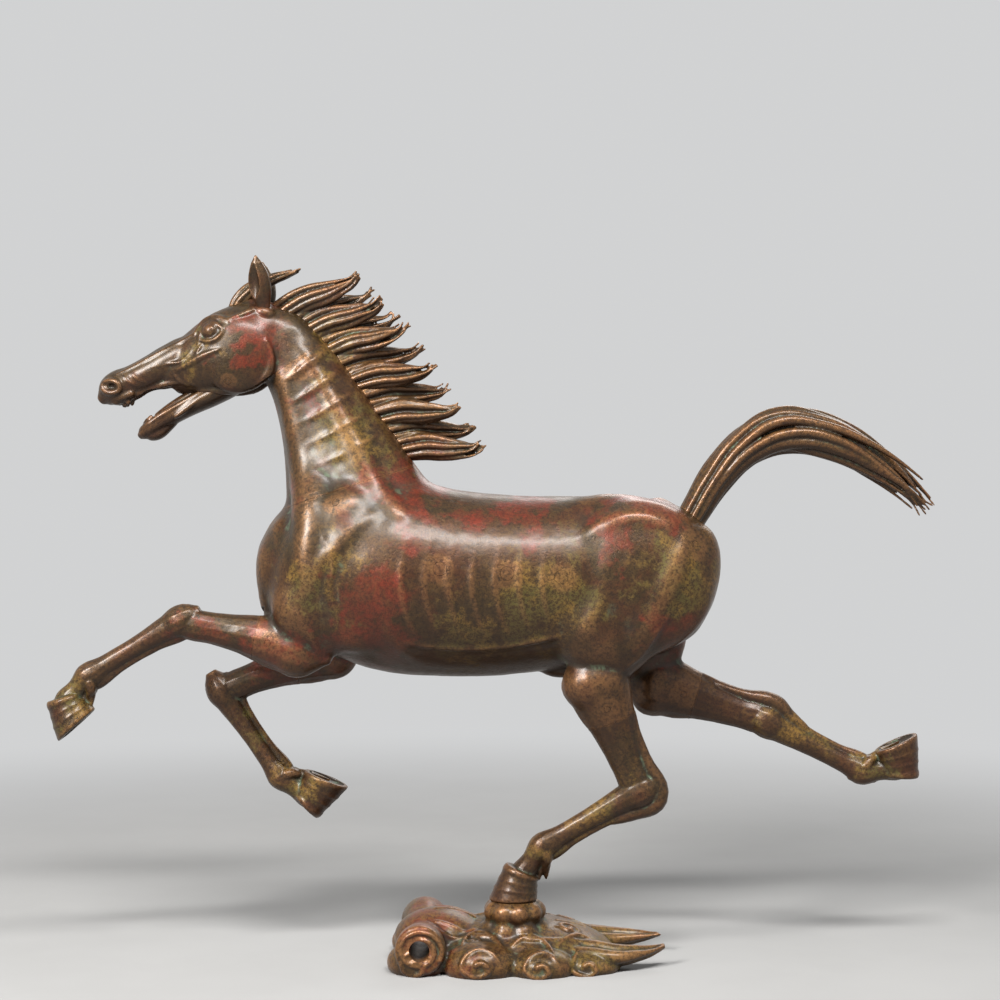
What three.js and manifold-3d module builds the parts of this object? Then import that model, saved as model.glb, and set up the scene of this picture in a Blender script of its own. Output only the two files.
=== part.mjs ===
// Bronze statue of a galloping horse that stands on one hind hoof on a cloud base.
// It is cast hollow in sections, which sleeves, tenons and pins hold together.
// Millimetres, +Z up. The horse heads towards -X and its left side faces -Y.
// The origin is on the ground, under the middle of the whole statue.
import * as THREE from "three";
import { mergeVertices } from "three/addons/utils/BufferGeometryUtils.js";
import Module from "manifold-3d";

const wasm = await Module();
wasm.setup();

// Casting and fitting
const casting = { wall: 4, seam: 0.3, weld: 0.0001 };
const overrun = 30;

// Facets round each kind of piece, and rings from one row of its table to the next
const facets = {
  trunk: 20,
  neck: 16,
  head: 14,
  limb: 8,
  hair: 6,
  ball: 12,
  smallBall: 8,
  drill: 8,
  nut: 6,
};
const ringsPerRow = { trunk: 1, neck: 1.5, head: 1, limb: 1.5, hair: 1, rod: 2 };

// Barrel of the horse, from the buttock at share 0 to the breast at share 1
const trunk = { length: 230, depth: 86, width: 75, climbAngle: 4 };
const trunkShares = [
  // along, over, under, side
  [0.0, 0.09, 0.12, 0.1],
  [0.025, 0.28, 0.3, 0.27],
  [0.085, 0.43, 0.41, 0.4],
  [0.18, 0.495, 0.4, 0.465],
  [0.3, 0.47, 0.465, 0.475],
  [0.44, 0.445, 0.545, 0.5],
  [0.58, 0.455, 0.58, 0.515],
  [0.72, 0.5, 0.575, 0.49],
  [0.84, 0.45, 0.475, 0.44],
  [0.92, 0.34, 0.36, 0.37],
  [0.975, 0.19, 0.22, 0.24],
  [1.0, 0.05, 0.08, 0.08],
];

// Muscles that stand out from the barrel, and places on the barrel:
// along its length, up its depth and out by its width
const shoulder = { length: 50, height: 76, thickness: 26, leanAngle: 22, placeShares: [0.83, -0.04, 0.33] };
const haunch = { length: 76, height: 78, thickness: 34, leanAngle: 24, placeShares: [0.17, -0.01, 0.29] };
const upperArm = {
  length: 48, height: 50, thickness: 21, leanAngle: 35, placeShares: [0.766, -0.229, 0.347],
};
const shoulderPoint = {
  length: 34, height: 44, thickness: 26, leanAngle: -10, placeShares: [0.884, -0.286, 0.307],
};
const withers = { length: 50, height: 36, thickness: 20, leanAngle: 24, placeShares: [0.74, 0.357, 0.12] };
const croup = { length: 78, height: 42, thickness: 34, leanAngle: 10, placeShares: [0.193, 0.25, 0.147] };
const buttock = { length: 34, height: 58, thickness: 32, leanAngle: 14, placeShares: [0.071, 0.04, 0.213] };
const stifle = { length: 44, height: 54, thickness: 25, leanAngle: -30, placeShares: [0.262, -0.251, 0.333] };
const pairedMuscles = [shoulder, haunch, upperArm, shoulderPoint, withers, croup, buttock, stifle];
const breast = { length: 40, height: 52, thickness: 44, leanAngle: 0, placeShares: [0.92, -0.14, 0] };
const foreRootShares = [0.83, -0.14, 0.28];
const hindRootShares = [0.15, 0.02, 0.28];
const neckRootShares = [0.755, 0.14, 0];
const tailRootShares = [0.045, 0.3, 0];
const corePlug = { radius: 3.2, rowShares: [4.3, 5.1, 6.1] };

// Neck, from its root in the barrel up to the poll
const neck = { length: 118, depth: 88, width: 58, leanAngle: 65, arch: 6 };
const neckShares = [
  // along, arch, over, under, side
  [-0.2, -0.6, 0.46, 0.44, 0.44],
  [0.0, 0.0, 0.48, 0.45, 0.48],
  [0.2, 0.5, 0.42, 0.38, 0.43],
  [0.4, 0.9, 0.345, 0.3, 0.35],
  [0.6, 1.0, 0.28, 0.235, 0.285],
  [0.8, 0.7, 0.235, 0.2, 0.24],
  [0.95, 0.0, 0.2, 0.185, 0.22],
  [1.04, -0.5, 0.13, 0.13, 0.15],
];

// The neck's two joints lie at these rows of its table. A sleeve enters the lower casting there.
const jointRowShares = { torso: 2.1, head: 5 };
const sleeve = { wall: 3, belowShare: 0.45, aboveShare: 0.25 };
const sleevePinAngles = [10, 90, 170];

// Head, from the poll at share 0 to the muzzle at share 1, in shares of its length
const head = { length: 95, dropAngle: 23, core: 20, coreHeight: 22, coreWidth: 17 };
const headRootShares = { along: 0.99, over: 0.05 };
const headCoreShares = [0.12, -0.03];
const skullShares = [
  // along, rise, over, under, side
  [-0.07, -0.03, 0.06, 0.08, 0.08],
  [0.0, -0.02, 0.12, 0.16, 0.13],
  [0.12, 0.0, 0.165, 0.24, 0.155],
  [0.26, 0.0, 0.175, 0.275, 0.175],
  [0.38, 0.0, 0.16, 0.265, 0.165],
  [0.5, -0.005, 0.13, 0.225, 0.13],
  [0.6, -0.01, 0.112, 0.175, 0.108],
  [0.68, -0.01, 0.102, 0.09, 0.098],
  [0.82, -0.01, 0.095, 0.08, 0.095],
  [0.93, -0.015, 0.098, 0.095, 0.112],
  [0.99, -0.025, 0.06, 0.07, 0.09],
  [1.01, -0.03, 0.03, 0.035, 0.05],
];
const jawShares = [
  // along, rise, over, under, side
  [0.36, -0.19, 0.04, 0.05, 0.08],
  [0.48, -0.175, 0.045, 0.055, 0.08],
  [0.6, -0.152, 0.045, 0.052, 0.072],
  [0.74, -0.138, 0.042, 0.047, 0.066],
  [0.86, -0.135, 0.044, 0.052, 0.076],
  [0.925, -0.145, 0.02, 0.03, 0.045],
];
const jaw = { openingAngle: 11, tenonRadius: 3.8 };
const jawHingeShares = [0.2, -0.12];
const jawTenonShares = { front: [0.6, -0.15], back: [0.24, -0.185], pin: [0.36, -0.175] };
const eye = { size: 9.2, placeShares: [0.33, 0.07, 0.13] };
const brow = { length: 15, height: 4.6, thickness: 5.2, placeShares: [0.3, 0.12, 0.14] };
const nostril = { length: 7, height: 5, depth: 6, placeShares: [0.945, -0.005, 0.11] };
const cheek = { size: 40, thickness: 13, placeShares: [0.25, -0.09, 0.12] };

// Ears and forelock
const ear = {
  length: 25,
  width: 11,
  thickness: 7,
  splayAngle: 14,
  rakeAngle: 16,
  placeShares: [0.03, 0.1, 0.09],
};
const earShares = [
  // along, width, thickness
  [-0.12, 0.55, 0.8],
  [0.1, 0.75, 1.0],
  [0.35, 1.0, 1.0],
  [0.62, 0.85, 0.75],
  [0.86, 0.45, 0.45],
  [1.0, 0.08, 0.12],
];
const earHollow = { scaleShare: 0.62, forwardShare: 0.5, rowShares: { from: 1.2, to: 4.2 } };
const forelock = { width: 8, height: 9 };
const forelockShares = [
  // along, rise, girth
  [0.2, 0.1, 0.7],
  [0.15, 0.175, 1.0],
  [0.05, 0.205, 0.95],
  [-0.07, 0.215, 0.72],
  [-0.17, 0.205, 0.4],
  [-0.24, 0.215, 0.07],
];
const forelockPegShares = [
  [0.15, 0.08],
  [0.1, 0.18],
];

// Mane: locks from one row of the neck's table to another, in three castings
const mane = { lockLength: 40, lockHeight: 14, lockWidth: 9, sway: 8, rootDepth: 4 };
const maneRowShares = { start: 2.55, step: 0.39 };
const maneLockCounts = { mane_lower: 4, mane_middle: 3, mane_upper: 4 };
const lockShares = [
  // out from the crest, lift along the neck, sway, girth
  [-0.1, 0.0, 0.0, 0.8],
  [0.25, -0.06, 0.15, 1.0],
  [0.6, -0.24, 0.5, 0.8],
  [0.86, -0.33, 0.8, 0.42],
  [1.03, -0.3, 1.0, 0.06],
];

// Tail: locks twist round one path from the dock
const tail = { length: 120, rise: 48, drop: 36, girth: 23, lockCount: 6, twistAngle: 16 };
const tailPathShares = [
  // back along the length, up by the rise, down by the drop, girth
  [-0.12, -0.3, 0, 0.6],
  [0.02, 0.3, 0, 0.66],
  [0.16, 0.82, 0, 0.82],
  [0.36, 1.08, 0, 1.0],
  [0.58, 0.98, 0.02, 0.95],
  [0.78, 0.88, 0.28, 0.7],
  [0.92, 0.86, 0.62, 0.36],
  [1.0, 0.9, 0.95, 0.08],
];
const tailCoreShares = { spread: 0, girth: 0.8, reach: 0.94 };
const tailLockShares = { spread: 0.3, girth: 0.6, shorter: 0.07 };

// Bones of a foreleg and a hind leg, from the body down.
// Each swells to a belly part way down, at its belly share, and ends in a joint.
const arm = {
  length: 34, depth: 44, width: 24,
  bellyDepth: 40, bellyWidth: 25,
  endDepth: 30, endWidth: 23,
};
const forearm = {
  length: 63, depth: 28, width: 21,
  bellyDepth: 23, bellyWidth: 19,
  endDepth: 17, endWidth: 15,
};
const foreCannon = {
  length: 54, depth: 15, width: 13,
  bellyDepth: 11, bellyWidth: 9.5,
  endDepth: 14, endWidth: 12,
};
const forePastern = {
  length: 17, depth: 13, width: 11,
  bellyDepth: 10, bellyWidth: 9.5,
  endDepth: 12.5, endWidth: 13,
};
const thigh = {
  length: 54, depth: 58, width: 30,
  bellyDepth: 52, bellyWidth: 28,
  endDepth: 36, endWidth: 22,
};
const gaskin = {
  length: 64, depth: 34, width: 20,
  bellyDepth: 25, bellyWidth: 18,
  endDepth: 18, endWidth: 14,
};
const hindCannon = {
  length: 56, depth: 16, width: 13,
  bellyDepth: 12, bellyWidth: 10,
  endDepth: 14, endWidth: 12,
};
const hindPastern = {
  length: 17, depth: 13, width: 11,
  bellyDepth: 10.5, bellyWidth: 10,
  endDepth: 13, endWidth: 13,
};
const foreBones = [arm, forearm, foreCannon, forePastern];
const hindBones = [thigh, gaskin, hindCannon, hindPastern];
const bellyShares = [0.5, 0.4, 0.45, 0.5];
const hoof = { height: 15, length: 25, width: 21, topLength: 17, topWidth: 16, setBack: 3.5, sink: 3 };
const tuft = { length: 10, radius: 4.5 };
const hockPoint = { length: 15, radius: 5.5 };
const spurShares = [
  // out from the joint, radius
  [0.0, 1.0],
  [0.55, 0.75],
  [1.0, 0.15],
];

// Poses. A swing of 0 points straight ahead, 90 straight down and 180 straight back.
const poses = {
  foreleg_left: { swings: [70, -12, 30, 48], toe: 42, sideShares: [1, 0.95, 0.85, 0.8, 0.8] },
  foreleg_right: { swings: [92, 20, 124, 146], toe: 158, sideShares: [1, 1, 0.95, 0.9, 0.9] },
  hind_leg_left: { swings: [58, 112, 30, 56], toe: 0, sideShares: [1, 1.05, 0.85, 0.6, 0.5] },
  hind_leg_right: { swings: [92, 162, 152, 188], toe: 204, sideShares: [1, 1.05, 0.95, 0.9, 0.9] },
};
const standingLeg = "hind_leg_left";

// Tenon of each lower leg, pegs and pins
const tenon = { radius: 4.6, length: 13, endGap: 0.7 };
const pin = { radius: 1.5 };
const peg = { radius: 1.6, length: 4.5, endGap: 0.5 };
const tailSpigot = { radius: 4, length: 12 };

// Rod inside the standing leg, with a washer and a nut under the base
const supportRod = { radius: 2.4, startShare: 0.5, footClearance: 1.5 };
const nut = { acrossFlats: 9, height: 4.2, threadBelow: 1.5 };
const washer = { radius: 7, height: 1.2 };

// Cloud base
const base = { length: 128, width: 84, moundHeight: 23, padHeight: 32, bossRadius: 9 };
const moundShares = { length: 0.82, width: 0.84, height: 2 };
const plume = { length: 42, width: 38 };
const plumeShares = [
  // up to the pad, lean towards the hoof, girth
  [0.15, 0.3, 1.0],
  [0.45, 0.6, 0.78],
  [0.7, 0.9, 0.64],
  [0.88, 1.0, 0.72],
  [1.0, 1.0, 0.8],
  [1.15, 1.0, 0.7],
];
const lobeShares = [
  // along, out, up, length, width, height
  [-0.29, 0.0, 0.5, 0.36, 0.5, 1.3],
  [-0.36, -0.27, 0.25, 0.26, 0.36, 1.0],
  [-0.36, 0.27, 0.25, 0.26, 0.36, 1.0],
  [-0.13, -0.36, 0.2, 0.29, 0.32, 0.95],
  [-0.13, 0.36, 0.2, 0.29, 0.32, 0.95],
  [0.1, -0.36, 0.15, 0.26, 0.3, 0.8],
  [0.1, 0.36, 0.15, 0.26, 0.3, 0.8],
  [0.28, -0.24, 0.12, 0.26, 0.34, 0.7],
  [0.28, 0.24, 0.12, 0.26, 0.34, 0.7],
];
const volute = { boreRadius: 5, rollRadius: 12.4, rollWidth: 76, placeShares: [-0.36, 0.55] };
const wisp = { length: 62, width: 22, height: 12, startShare: 0.1, sideShare: 0.2 };
const wispShares = [
  // along, out, up, girth
  [0.0, -0.1, 0.3, 0.8],
  [0.3, 0.0, 0.36, 1.0],
  [0.6, 0.06, 0.3, 0.8],
  [0.84, 0.03, 0.34, 0.5],
  [1.0, -0.06, 0.44, 0.12],
];

// Finishes
const finish = (color, roughness, metalness) =>
  new THREE.MeshStandardMaterial({ color, roughness, metalness });
const bodyBronze = finish(0x553828, 0.42, 0.8);
const hairBronze = finish(0x5f3b26, 0.46, 0.8);
const limbBronze = finish(0x6d5031, 0.5, 0.75);
const baseBronze = finish(0x64452f, 0.5, 0.75);
const steel = finish(0x8b8d90, 0.35, 1);

const radians = THREE.MathUtils.degToRad;
const fullTurn = 360;
const point = (x, y, z) => new THREE.Vector3(x, y, z);
const across = point(0, 1, 0);
const upward = point(0, 0, 1);
const backward = point(1, 0, 0);
const sides = [-1, 1];
const mirrored = (place, side) => point(place.x, side * place.y, place.z);

// A place moved along some directions by their distances.
const moved = (place, ...shifts) =>
  shifts.reduce((at, [direction, distance]) => at.addScaledVector(direction, distance), place.clone());

// A closed solid from points and triangles, turned to face outwards.
function solidFrom(points, faces) {
  const vertProperties = new Float32Array(points.flatMap((p) => [p.x, p.y, p.z]));
  const build = (corners) =>
    new wasm.Manifold(
      new wasm.Mesh({ numProp: 3, vertProperties, triVerts: new Uint32Array(corners) }),
    );
  const made = build(faces);
  return made.volume() > 0 ? made : build(faces.toReversed());
}

// A three.js geometry as a solid that can be cut and joined.
function solidOf(geometry) {
  const bare = geometry.clone();
  bare.deleteAttribute("normal");
  bare.deleteAttribute("uv");
  const merged = mergeVertices(bare, casting.weld);
  const place = merged.attributes.position;
  const points = Array.from({ length: place.count }, (_, i) => point().fromBufferAttribute(place, i));
  return solidFrom(points, Array.from(merged.index.array));
}

// A solid as the geometry of a mesh.
function geometryOf(solid) {
  const mesh = solid.getMesh();
  const geometry = new THREE.BufferGeometry();
  geometry.setAttribute("position", new THREE.BufferAttribute(new Float32Array(mesh.vertProperties), 3));
  geometry.setIndex(new THREE.BufferAttribute(new Uint32Array(mesh.triVerts), 1));
  geometry.computeVertexNormals();
  return geometry;
}

const join = (solids) => solids.reduce((whole, next) => whole.add(next));
const cut = (solid, tools) => tools.reduce((left, tool) => left.subtract(tool), solid);

// One row of a table, read smoothly at a place between its rows.
function readRow(rows, place) {
  const i = THREE.MathUtils.clamp(Math.floor(place), 0, rows.length - 2);
  const f = place - i;
  const row = (k) => rows[THREE.MathUtils.clamp(k, 0, rows.length - 1)];
  return rows[0].map((_, column) => {
    const [p, q, r, s] = [-1, 0, 1, 2].map((step) => row(i + step)[column]);
    return q + 0.5 * f * (r - p + f * (2 * p - 5 * q + 4 * r - s + f * (3 * (q - r) + s - p)));
  });
}

// Directions at a point of a path that heads a given way. Down is the belly, throat or jaw side
// of a path that runs headwards, and the back of a limb.
function directions(ahead) {
  const down = ahead.clone().cross(across).normalize();
  return { ahead, down, side: down.clone().cross(ahead) };
}

// A closed solid through rings that all have the same number of points.
function skin(rings) {
  const count = rings[0].length;
  const points = rings.flat();
  const [first, last] = [rings[0], rings.at(-1)].map((ring) => {
    const middle = ring.reduce((sum, p) => sum.add(p), point(0, 0, 0)).divideScalar(count);
    return points.push(middle) - 1;
  });
  const faces = [];
  const lastRing = (rings.length - 1) * count;
  for (let s = 0; s < count; s++) {
    const t = (s + 1) % count;
    for (let r = 0; r < lastRing; r += count) {
      faces.push(r + s, r + t, r + t + count);
      faces.push(r + s, r + t + count, r + s + count);
    }
    faces.push(first, t, s);
    faces.push(last, lastRing + s, lastRing + t);
  }
  return solidFrom(points, faces);
}

// The middle, directions and half sizes of a path at a place among its rows.
function stationOf(rows, place) {
  const step = 0.05;
  const at = (where) => point(...readRow(rows, where).slice(0, 3));
  const [, , , half, over, under] = readRow(rows, place);
  const ahead = at(place + step).sub(at(place - step)).normalize();
  return { centre: at(place), half, over, under, ...directions(ahead) };
}

// A closed solid along rows of x, y, z, half width, half depth over and half depth under.
// It can be grown all round, also past its ends, and it can be a stretch of the rows.
function loft(rows, perRow, count, { grow = 0, endGrow = grow, from = 0, to = rows.length - 1 } = {}) {
  const steps = Math.max(1, Math.round((to - from) * perRow));
  const shifts = { 0: -endGrow, [steps]: endGrow };
  const rings = Array.from({ length: steps + 1 }, (_, k) => {
    const place = from + ((to - from) * k) / steps;
    const { centre, ahead, down, side, half, over, under } = stationOf(rows, place);
    const middle = moved(centre, [ahead, shifts[k] ?? 0]);
    const reach = (size) => Math.max(size + grow, casting.seam);
    return Array.from({ length: count }, (_, s) => {
      const angle = (2 * Math.PI * s) / count;
      const depth = Math.sin(angle) > 0 ? under : over;
      return moved(middle, [side, Math.cos(angle) * reach(half)], [down, Math.sin(angle) * reach(depth)]);
    });
  });
  return skin(rings);
}

// An ellipsoid with its full sizes, leaning back by an angle in degrees.
function ball(centre, [length, width, height], { leanAngle = 0, grow = 0, count = facets.ball } = {}) {
  const shape = new THREE.SphereGeometry(1, count, Math.round(count / 2));
  shape.rotateX(Math.PI / 2);
  shape.scale(length / 2 + grow, width / 2 + grow, height / 2 + grow);
  shape.rotateY(radians(leanAngle));
  shape.translate(centre.x, centre.y, centre.z);
  return solidOf(shape);
}

// A straight bar between two points.
function bar(start, end, radius, count = facets.drill) {
  const line = end.clone().sub(start);
  const shape = new THREE.CylinderGeometry(radius, radius, line.length(), count);
  shape.applyQuaternion(new THREE.Quaternion().setFromUnitVectors(across, line.clone().normalize()));
  shape.translate(...start.clone().add(end).divideScalar(2).toArray());
  return solidOf(shape);
}

// The two ends of a bar from side to side through a place.
const crossEnds = (place, half) => sides.map((side) => moved(place, [across, side * half]));

// Barrel
function trunkPoint([along, rise, out]) {
  const x = (0.5 - along) * trunk.length;
  return point(x, out * trunk.width, rise * trunk.depth - x * Math.tan(radians(trunk.climbAngle)));
}

const trunkRows = trunkShares.map(([along, over, under, side]) => [
  ...trunkPoint([along, 0, 0]).toArray(),
  side * trunk.width,
  over * trunk.depth,
  under * trunk.depth,
]);
const barrel = (grow) => loft(trunkRows, ringsPerRow.trunk, facets.trunk, { grow });

function muscle({ length, thickness, height, leanAngle, placeShares }, side, grow) {
  const place = mirrored(trunkPoint(placeShares), side);
  return ball(place, [length, thickness, height], { leanAngle, grow });
}

// Neck
const neckRoot = trunkPoint(neckRootShares);
const neckLean = radians(neck.leanAngle);
const neckWay = directions(point(-Math.cos(neckLean), 0, Math.sin(neckLean)));
const neckRows = neckShares.map(([along, arch, over, under, side]) => [
  ...moved(neckRoot, [neckWay.ahead, along * neck.length], [neckWay.down, -arch * neck.arch]).toArray(),
  side * neck.width,
  over * neck.depth,
  under * neck.depth,
]);
const neckLoft = (options) => loft(neckRows, ringsPerRow.neck, facets.neck, options);

// Head
const poll = moved(
  neckRoot,
  [neckWay.ahead, headRootShares.along * neck.length],
  [neckWay.down, -headRootShares.over * neck.depth],
);
const headDrop = radians(head.dropAngle);
const headWay = directions(point(-Math.cos(headDrop), 0, -Math.sin(headDrop)));

function headPoint([along, rise, out = 0]) {
  const [front, up, aside] = [along, -rise, out].map((share) => share * head.length);
  return moved(poll, [headWay.ahead, front], [headWay.down, up], [across, aside]);
}

const headRows = (shares, place) =>
  shares.map(([along, rise, over, under, side]) => [
    ...place([along, rise]).toArray(),
    side * head.length,
    over * head.length,
    under * head.length,
  ]);

function skull(grow) {
  const leanAngle = -head.dropAngle;
  const onBothSides = (shares, size, count) =>
    sides.map((side) => ball(mirrored(headPoint(shares), side), size, { leanAngle, grow, count }));
  return join([
    loft(headRows(skullShares, headPoint), ringsPerRow.head, facets.head, { grow }),
    ...onBothSides(cheek.placeShares, [cheek.size, cheek.thickness, cheek.size], facets.ball),
    ...onBothSides(brow.placeShares, [brow.length, brow.thickness, brow.height], facets.smallBall),
    ...onBothSides(eye.placeShares, [eye.size, eye.size, eye.size], facets.smallBall),
  ]);
}

// A place on the lower jaw, given as it lies when the mouth is closed.
function jawPoint([along, rise]) {
  const [hingeAlong, hingeRise] = jawHingeShares;
  const [cos, sin] = [Math.cos(radians(jaw.openingAngle)), Math.sin(radians(jaw.openingAngle))];
  const [ahead, above] = [along - hingeAlong, rise - hingeRise];
  return headPoint([hingeAlong + ahead * cos + above * sin, hingeRise + above * cos - ahead * sin]);
}

// Joint points of a limb from its root down, and what belongs to each bone.
function limbOf(name) {
  const { swings, toe, sideShares } = poses[name];
  const fore = name.startsWith("fore");
  const bones = fore ? foreBones : hindBones;
  const side = name.endsWith("left") ? -1 : 1;
  const rootPlace = mirrored(trunkPoint(fore ? foreRootShares : hindRootShares), side);
  const joints = [rootPlace];
  bones.forEach(({ length }, i) => {
    const swing = radians(swings[i]);
    const [back, up] = [-length * Math.cos(swing), -length * Math.sin(swing)];
    const next = moved(joints[i], [backward, back], [upward, up]);
    next.y = rootPlace.y * sideShares[i + 1];
    joints.push(next);
  });
  const rows = bones.map((bone, i) => {
    const row = (place, width, depth) => [...place.toArray(), width / 2, depth / 2, depth / 2];
    const belly = joints[i].clone().lerp(joints[i + 1], bellyShares[i]);
    return [
      row(joints[i], bone.width, bone.depth),
      row(belly, bone.bellyWidth, bone.bellyDepth),
      row(joints[i + 1], bone.endWidth, bone.endDepth),
    ];
  });
  return { name, fore, bones, joints, rows, toe: radians(toe) };
}

const limbs = Object.keys(poses).map(limbOf);

// One bone of a limb, and the round joint at its lower end.
const boneLoft = (limb, i, options) => loft(limb.rows[i], ringsPerRow.limb, facets.limb, options);

function jointBall(limb, i, grow) {
  const { endDepth, endWidth } = limb.bones[i];
  return ball(limb.joints[i + 1], [endDepth, endWidth, endDepth], { grow, count: facets.smallBall });
}

// The part of a limb that is cast with the torso ends at the belly of its second bone.
function limbRoot(limb, grow) {
  return join([boneLoft(limb, 0, { grow }), jointBall(limb, 0, grow), boneLoft(limb, 1, { grow, to: 1 })]);
}

// Directions of a hoof and the middle of its flat sole.
function hoofPlace(limb) {
  const toe = point(-Math.cos(limb.toe), 0, -Math.sin(limb.toe));
  const top = point(-Math.sin(limb.toe), 0, Math.cos(limb.toe));
  const coronet = limb.joints.at(-1);
  const crown = moved(coronet, [top, hoof.sink]);
  return { toe, top, coronet, crown, sole: moved(crown, [top, -hoof.height], [toe, hoof.setBack]) };
}

function hoofSolid(limb) {
  const { toe, crown, sole } = hoofPlace(limb);
  const oval = (centre, length, width) =>
    Array.from({ length: facets.limb }, (_, s) => {
      const angle = (2 * Math.PI * s) / facets.limb;
      return moved(centre, [toe, (Math.cos(angle) * length) / 2], [across, (Math.sin(angle) * width) / 2]);
    });
  return skin([oval(sole, hoof.length, hoof.width), oval(crown, hoof.topLength, hoof.topWidth)]);
}

// A pointed swelling at the back of the joint that a bone ends in.
function spur(limb, bone, { length, radius }) {
  const end = limb.bones.indexOf(bone) + 1;
  const place = limb.joints[end];
  const { down } = directions(place.clone().sub(limb.joints[end - 1]).normalize());
  const rows = spurShares.map(([out, girth]) => {
    const half = girth * radius;
    return [...moved(place, [down, out * length]).toArray(), half, half, half];
  });
  return loft(rows, ringsPerRow.limb, facets.hair);
}

function lowerLimb(limb) {
  return join([
    boneLoft(limb, 1, { from: 1 }),
    ...[1, 2, 3].map((i) => jointBall(limb, i, 0)),
    ...[2, 3].map((i) => boneLoft(limb, i)),
    hoofSolid(limb),
    spur(limb, limb.bones.at(-2), tuft),
    ...(limb.fore ? [] : [spur(limb, gaskin, hockPoint)]),
  ]);
}

// Filled forms of the main castings, as they are or grown to cut clear what is seated on them
const torsoForm = (grow) =>
  join([
    barrel(grow),
    muscle(breast, 0, grow),
    ...sides.flatMap((side) => pairedMuscles.map((form) => muscle(form, side, grow))),
    neckLoft({ grow, to: jointRowShares.torso }),
    ...limbs.map((limb) => limbRoot(limb, grow)),
  ]);
const neckForm = (grow) => neckLoft({ grow, from: jointRowShares.torso, to: jointRowShares.head });
const headForm = (grow) => join([neckLoft({ grow, from: jointRowShares.head }), skull(grow)]);
const forms = [torsoForm, neckForm, headForm];
const [torsoSolid, neckSolid, headSolid] = forms.map((form) => form(0));
const [torsoClear, neckClear, headClear] = forms.map((form) => form(casting.seam));

const bodies = {};
const finishes = {};
const fittings = [];

function cast(name, solid, material) {
  bodies[name] = solid;
  finishes[name] = material;
}

function drill(name, ...tools) {
  bodies[name] = cut(bodies[name], tools);
}

// A pin through some castings. Its ends are cut flush with the form that it is driven into.
function drivePin(name, form, start, end, throughNames) {
  cast(name, bar(start, end, pin.radius).intersect(form), bodyBronze);
  const hole = bar(start, end, pin.radius + casting.seam);
  throughNames.forEach((through) => fittings.push(() => drill(through, hole)));
}

// A peg on a seated piece, and its hole in the piece that carries it.
function setPeg(name, carrier, foot, top) {
  const way = foot.clone().sub(top).normalize();
  bodies[name] = bodies[name].add(bar(foot, top, peg.radius));
  drill(carrier, bar(moved(foot, [way, peg.endGap]), top, peg.radius + casting.seam));
}

// Sleeve on the lower end of a casting of the neck, its bore and the hole right through it.
function sleeveAt(row) {
  const outerInset = casting.wall + casting.seam;
  const [from, to] = [row - sleeve.belowShare, row + sleeve.aboveShare];
  return {
    tube: neckLoft({ from, to, grow: -outerInset, endGrow: 0 }),
    bore: neckLoft({ from: from - 1, to: row + 1, grow: -outerInset - sleeve.wall, endGrow: 0 }),
    pinRow: row - sleeve.belowShare / 2,
  };
}

// Torso: a hollow barrel that opens into the neck, with a boss for the tail
const tailRoot = trunkPoint(tailRootShares);
const tailBossSize = 2 * (tailSpigot.length + tenon.endGap + casting.wall);
const tailBoss = ball(tailRoot, [tailBossSize, tailBossSize, tailBossSize]);
const torsoHollow = join([
  barrel(-casting.wall),
  neckLoft({ to: jointRowShares.torso + 1, grow: -casting.wall, endGrow: 0 }),
]);
cast("torso_shell", torsoSolid.subtract(torsoHollow.subtract(tailBoss)), bodyBronze);

// Core plugs close the holes of the rods that held the casting core
corePlug.rowShares.forEach((row, i) => {
  sides.forEach((side) => {
    const { centre, half } = stationOf(trunkRows, row);
    const inside = moved(centre, [across, side * (half - casting.wall - casting.seam)]);
    const outside = moved(centre, [across, side * (half + casting.wall)]);
    const name = `core_plug_${side < 0 ? "left" : "right"}_${i + 1}`;
    cast(name, bar(inside, outside, corePlug.radius).intersect(torsoSolid), bodyBronze);
    drill("torso_shell", bar(inside, outside, corePlug.radius + casting.seam));
  });
});

// Neck shell, with a sleeve into the torso
const neckSleeve = sleeveAt(jointRowShares.torso);
const headSleeve = sleeveAt(jointRowShares.head);
const neckHollow = neckLoft({
  from: jointRowShares.torso + sleeve.aboveShare,
  to: jointRowShares.head + 1,
  grow: -casting.wall,
  endGrow: 0,
});
const neckWithSleeve = neckSolid.subtract(torsoClear).add(neckSleeve.tube);
cast("neck_shell", cut(neckWithSleeve, [neckSleeve.bore, neckHollow]), bodyBronze);

// Head, with a sleeve into the neck and a hollow behind the eyes
const headCore = ball(headPoint(headCoreShares), [head.core, head.coreWidth, head.coreHeight]);
const headWithSleeve = headSolid.subtract(neckClear).add(headSleeve.tube);
cast("head", cut(headWithSleeve, [headSleeve.bore, headCore]), bodyBronze);
sides.forEach((side) => {
  const place = mirrored(headPoint(nostril.placeShares), side);
  const size = [nostril.length, nostril.depth, nostril.height];
  drill("head", ball(place, size, { leanAngle: -head.dropAngle, count: facets.smallBall }));
});

// Lower jaw, with a tenon up into the cheeks and a pin across it
const [jawTenonFront, jawTenonBack] = [jawTenonShares.front, jawTenonShares.back].map(jawPoint);
const jawTenon = bar(jawTenonFront, jawTenonBack, jaw.tenonRadius);
const jawLoft = loft(headRows(jawShares, jawPoint), ringsPerRow.head, facets.limb);
cast("lower_jaw", jawLoft.subtract(headClear).add(jawTenon), bodyBronze);
const jawBoreEnd = moved(jawTenonBack, [headWay.ahead, -tenon.endGap]);
drill("head", bar(jawTenonFront, jawBoreEnd, jaw.tenonRadius + casting.seam));

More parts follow.
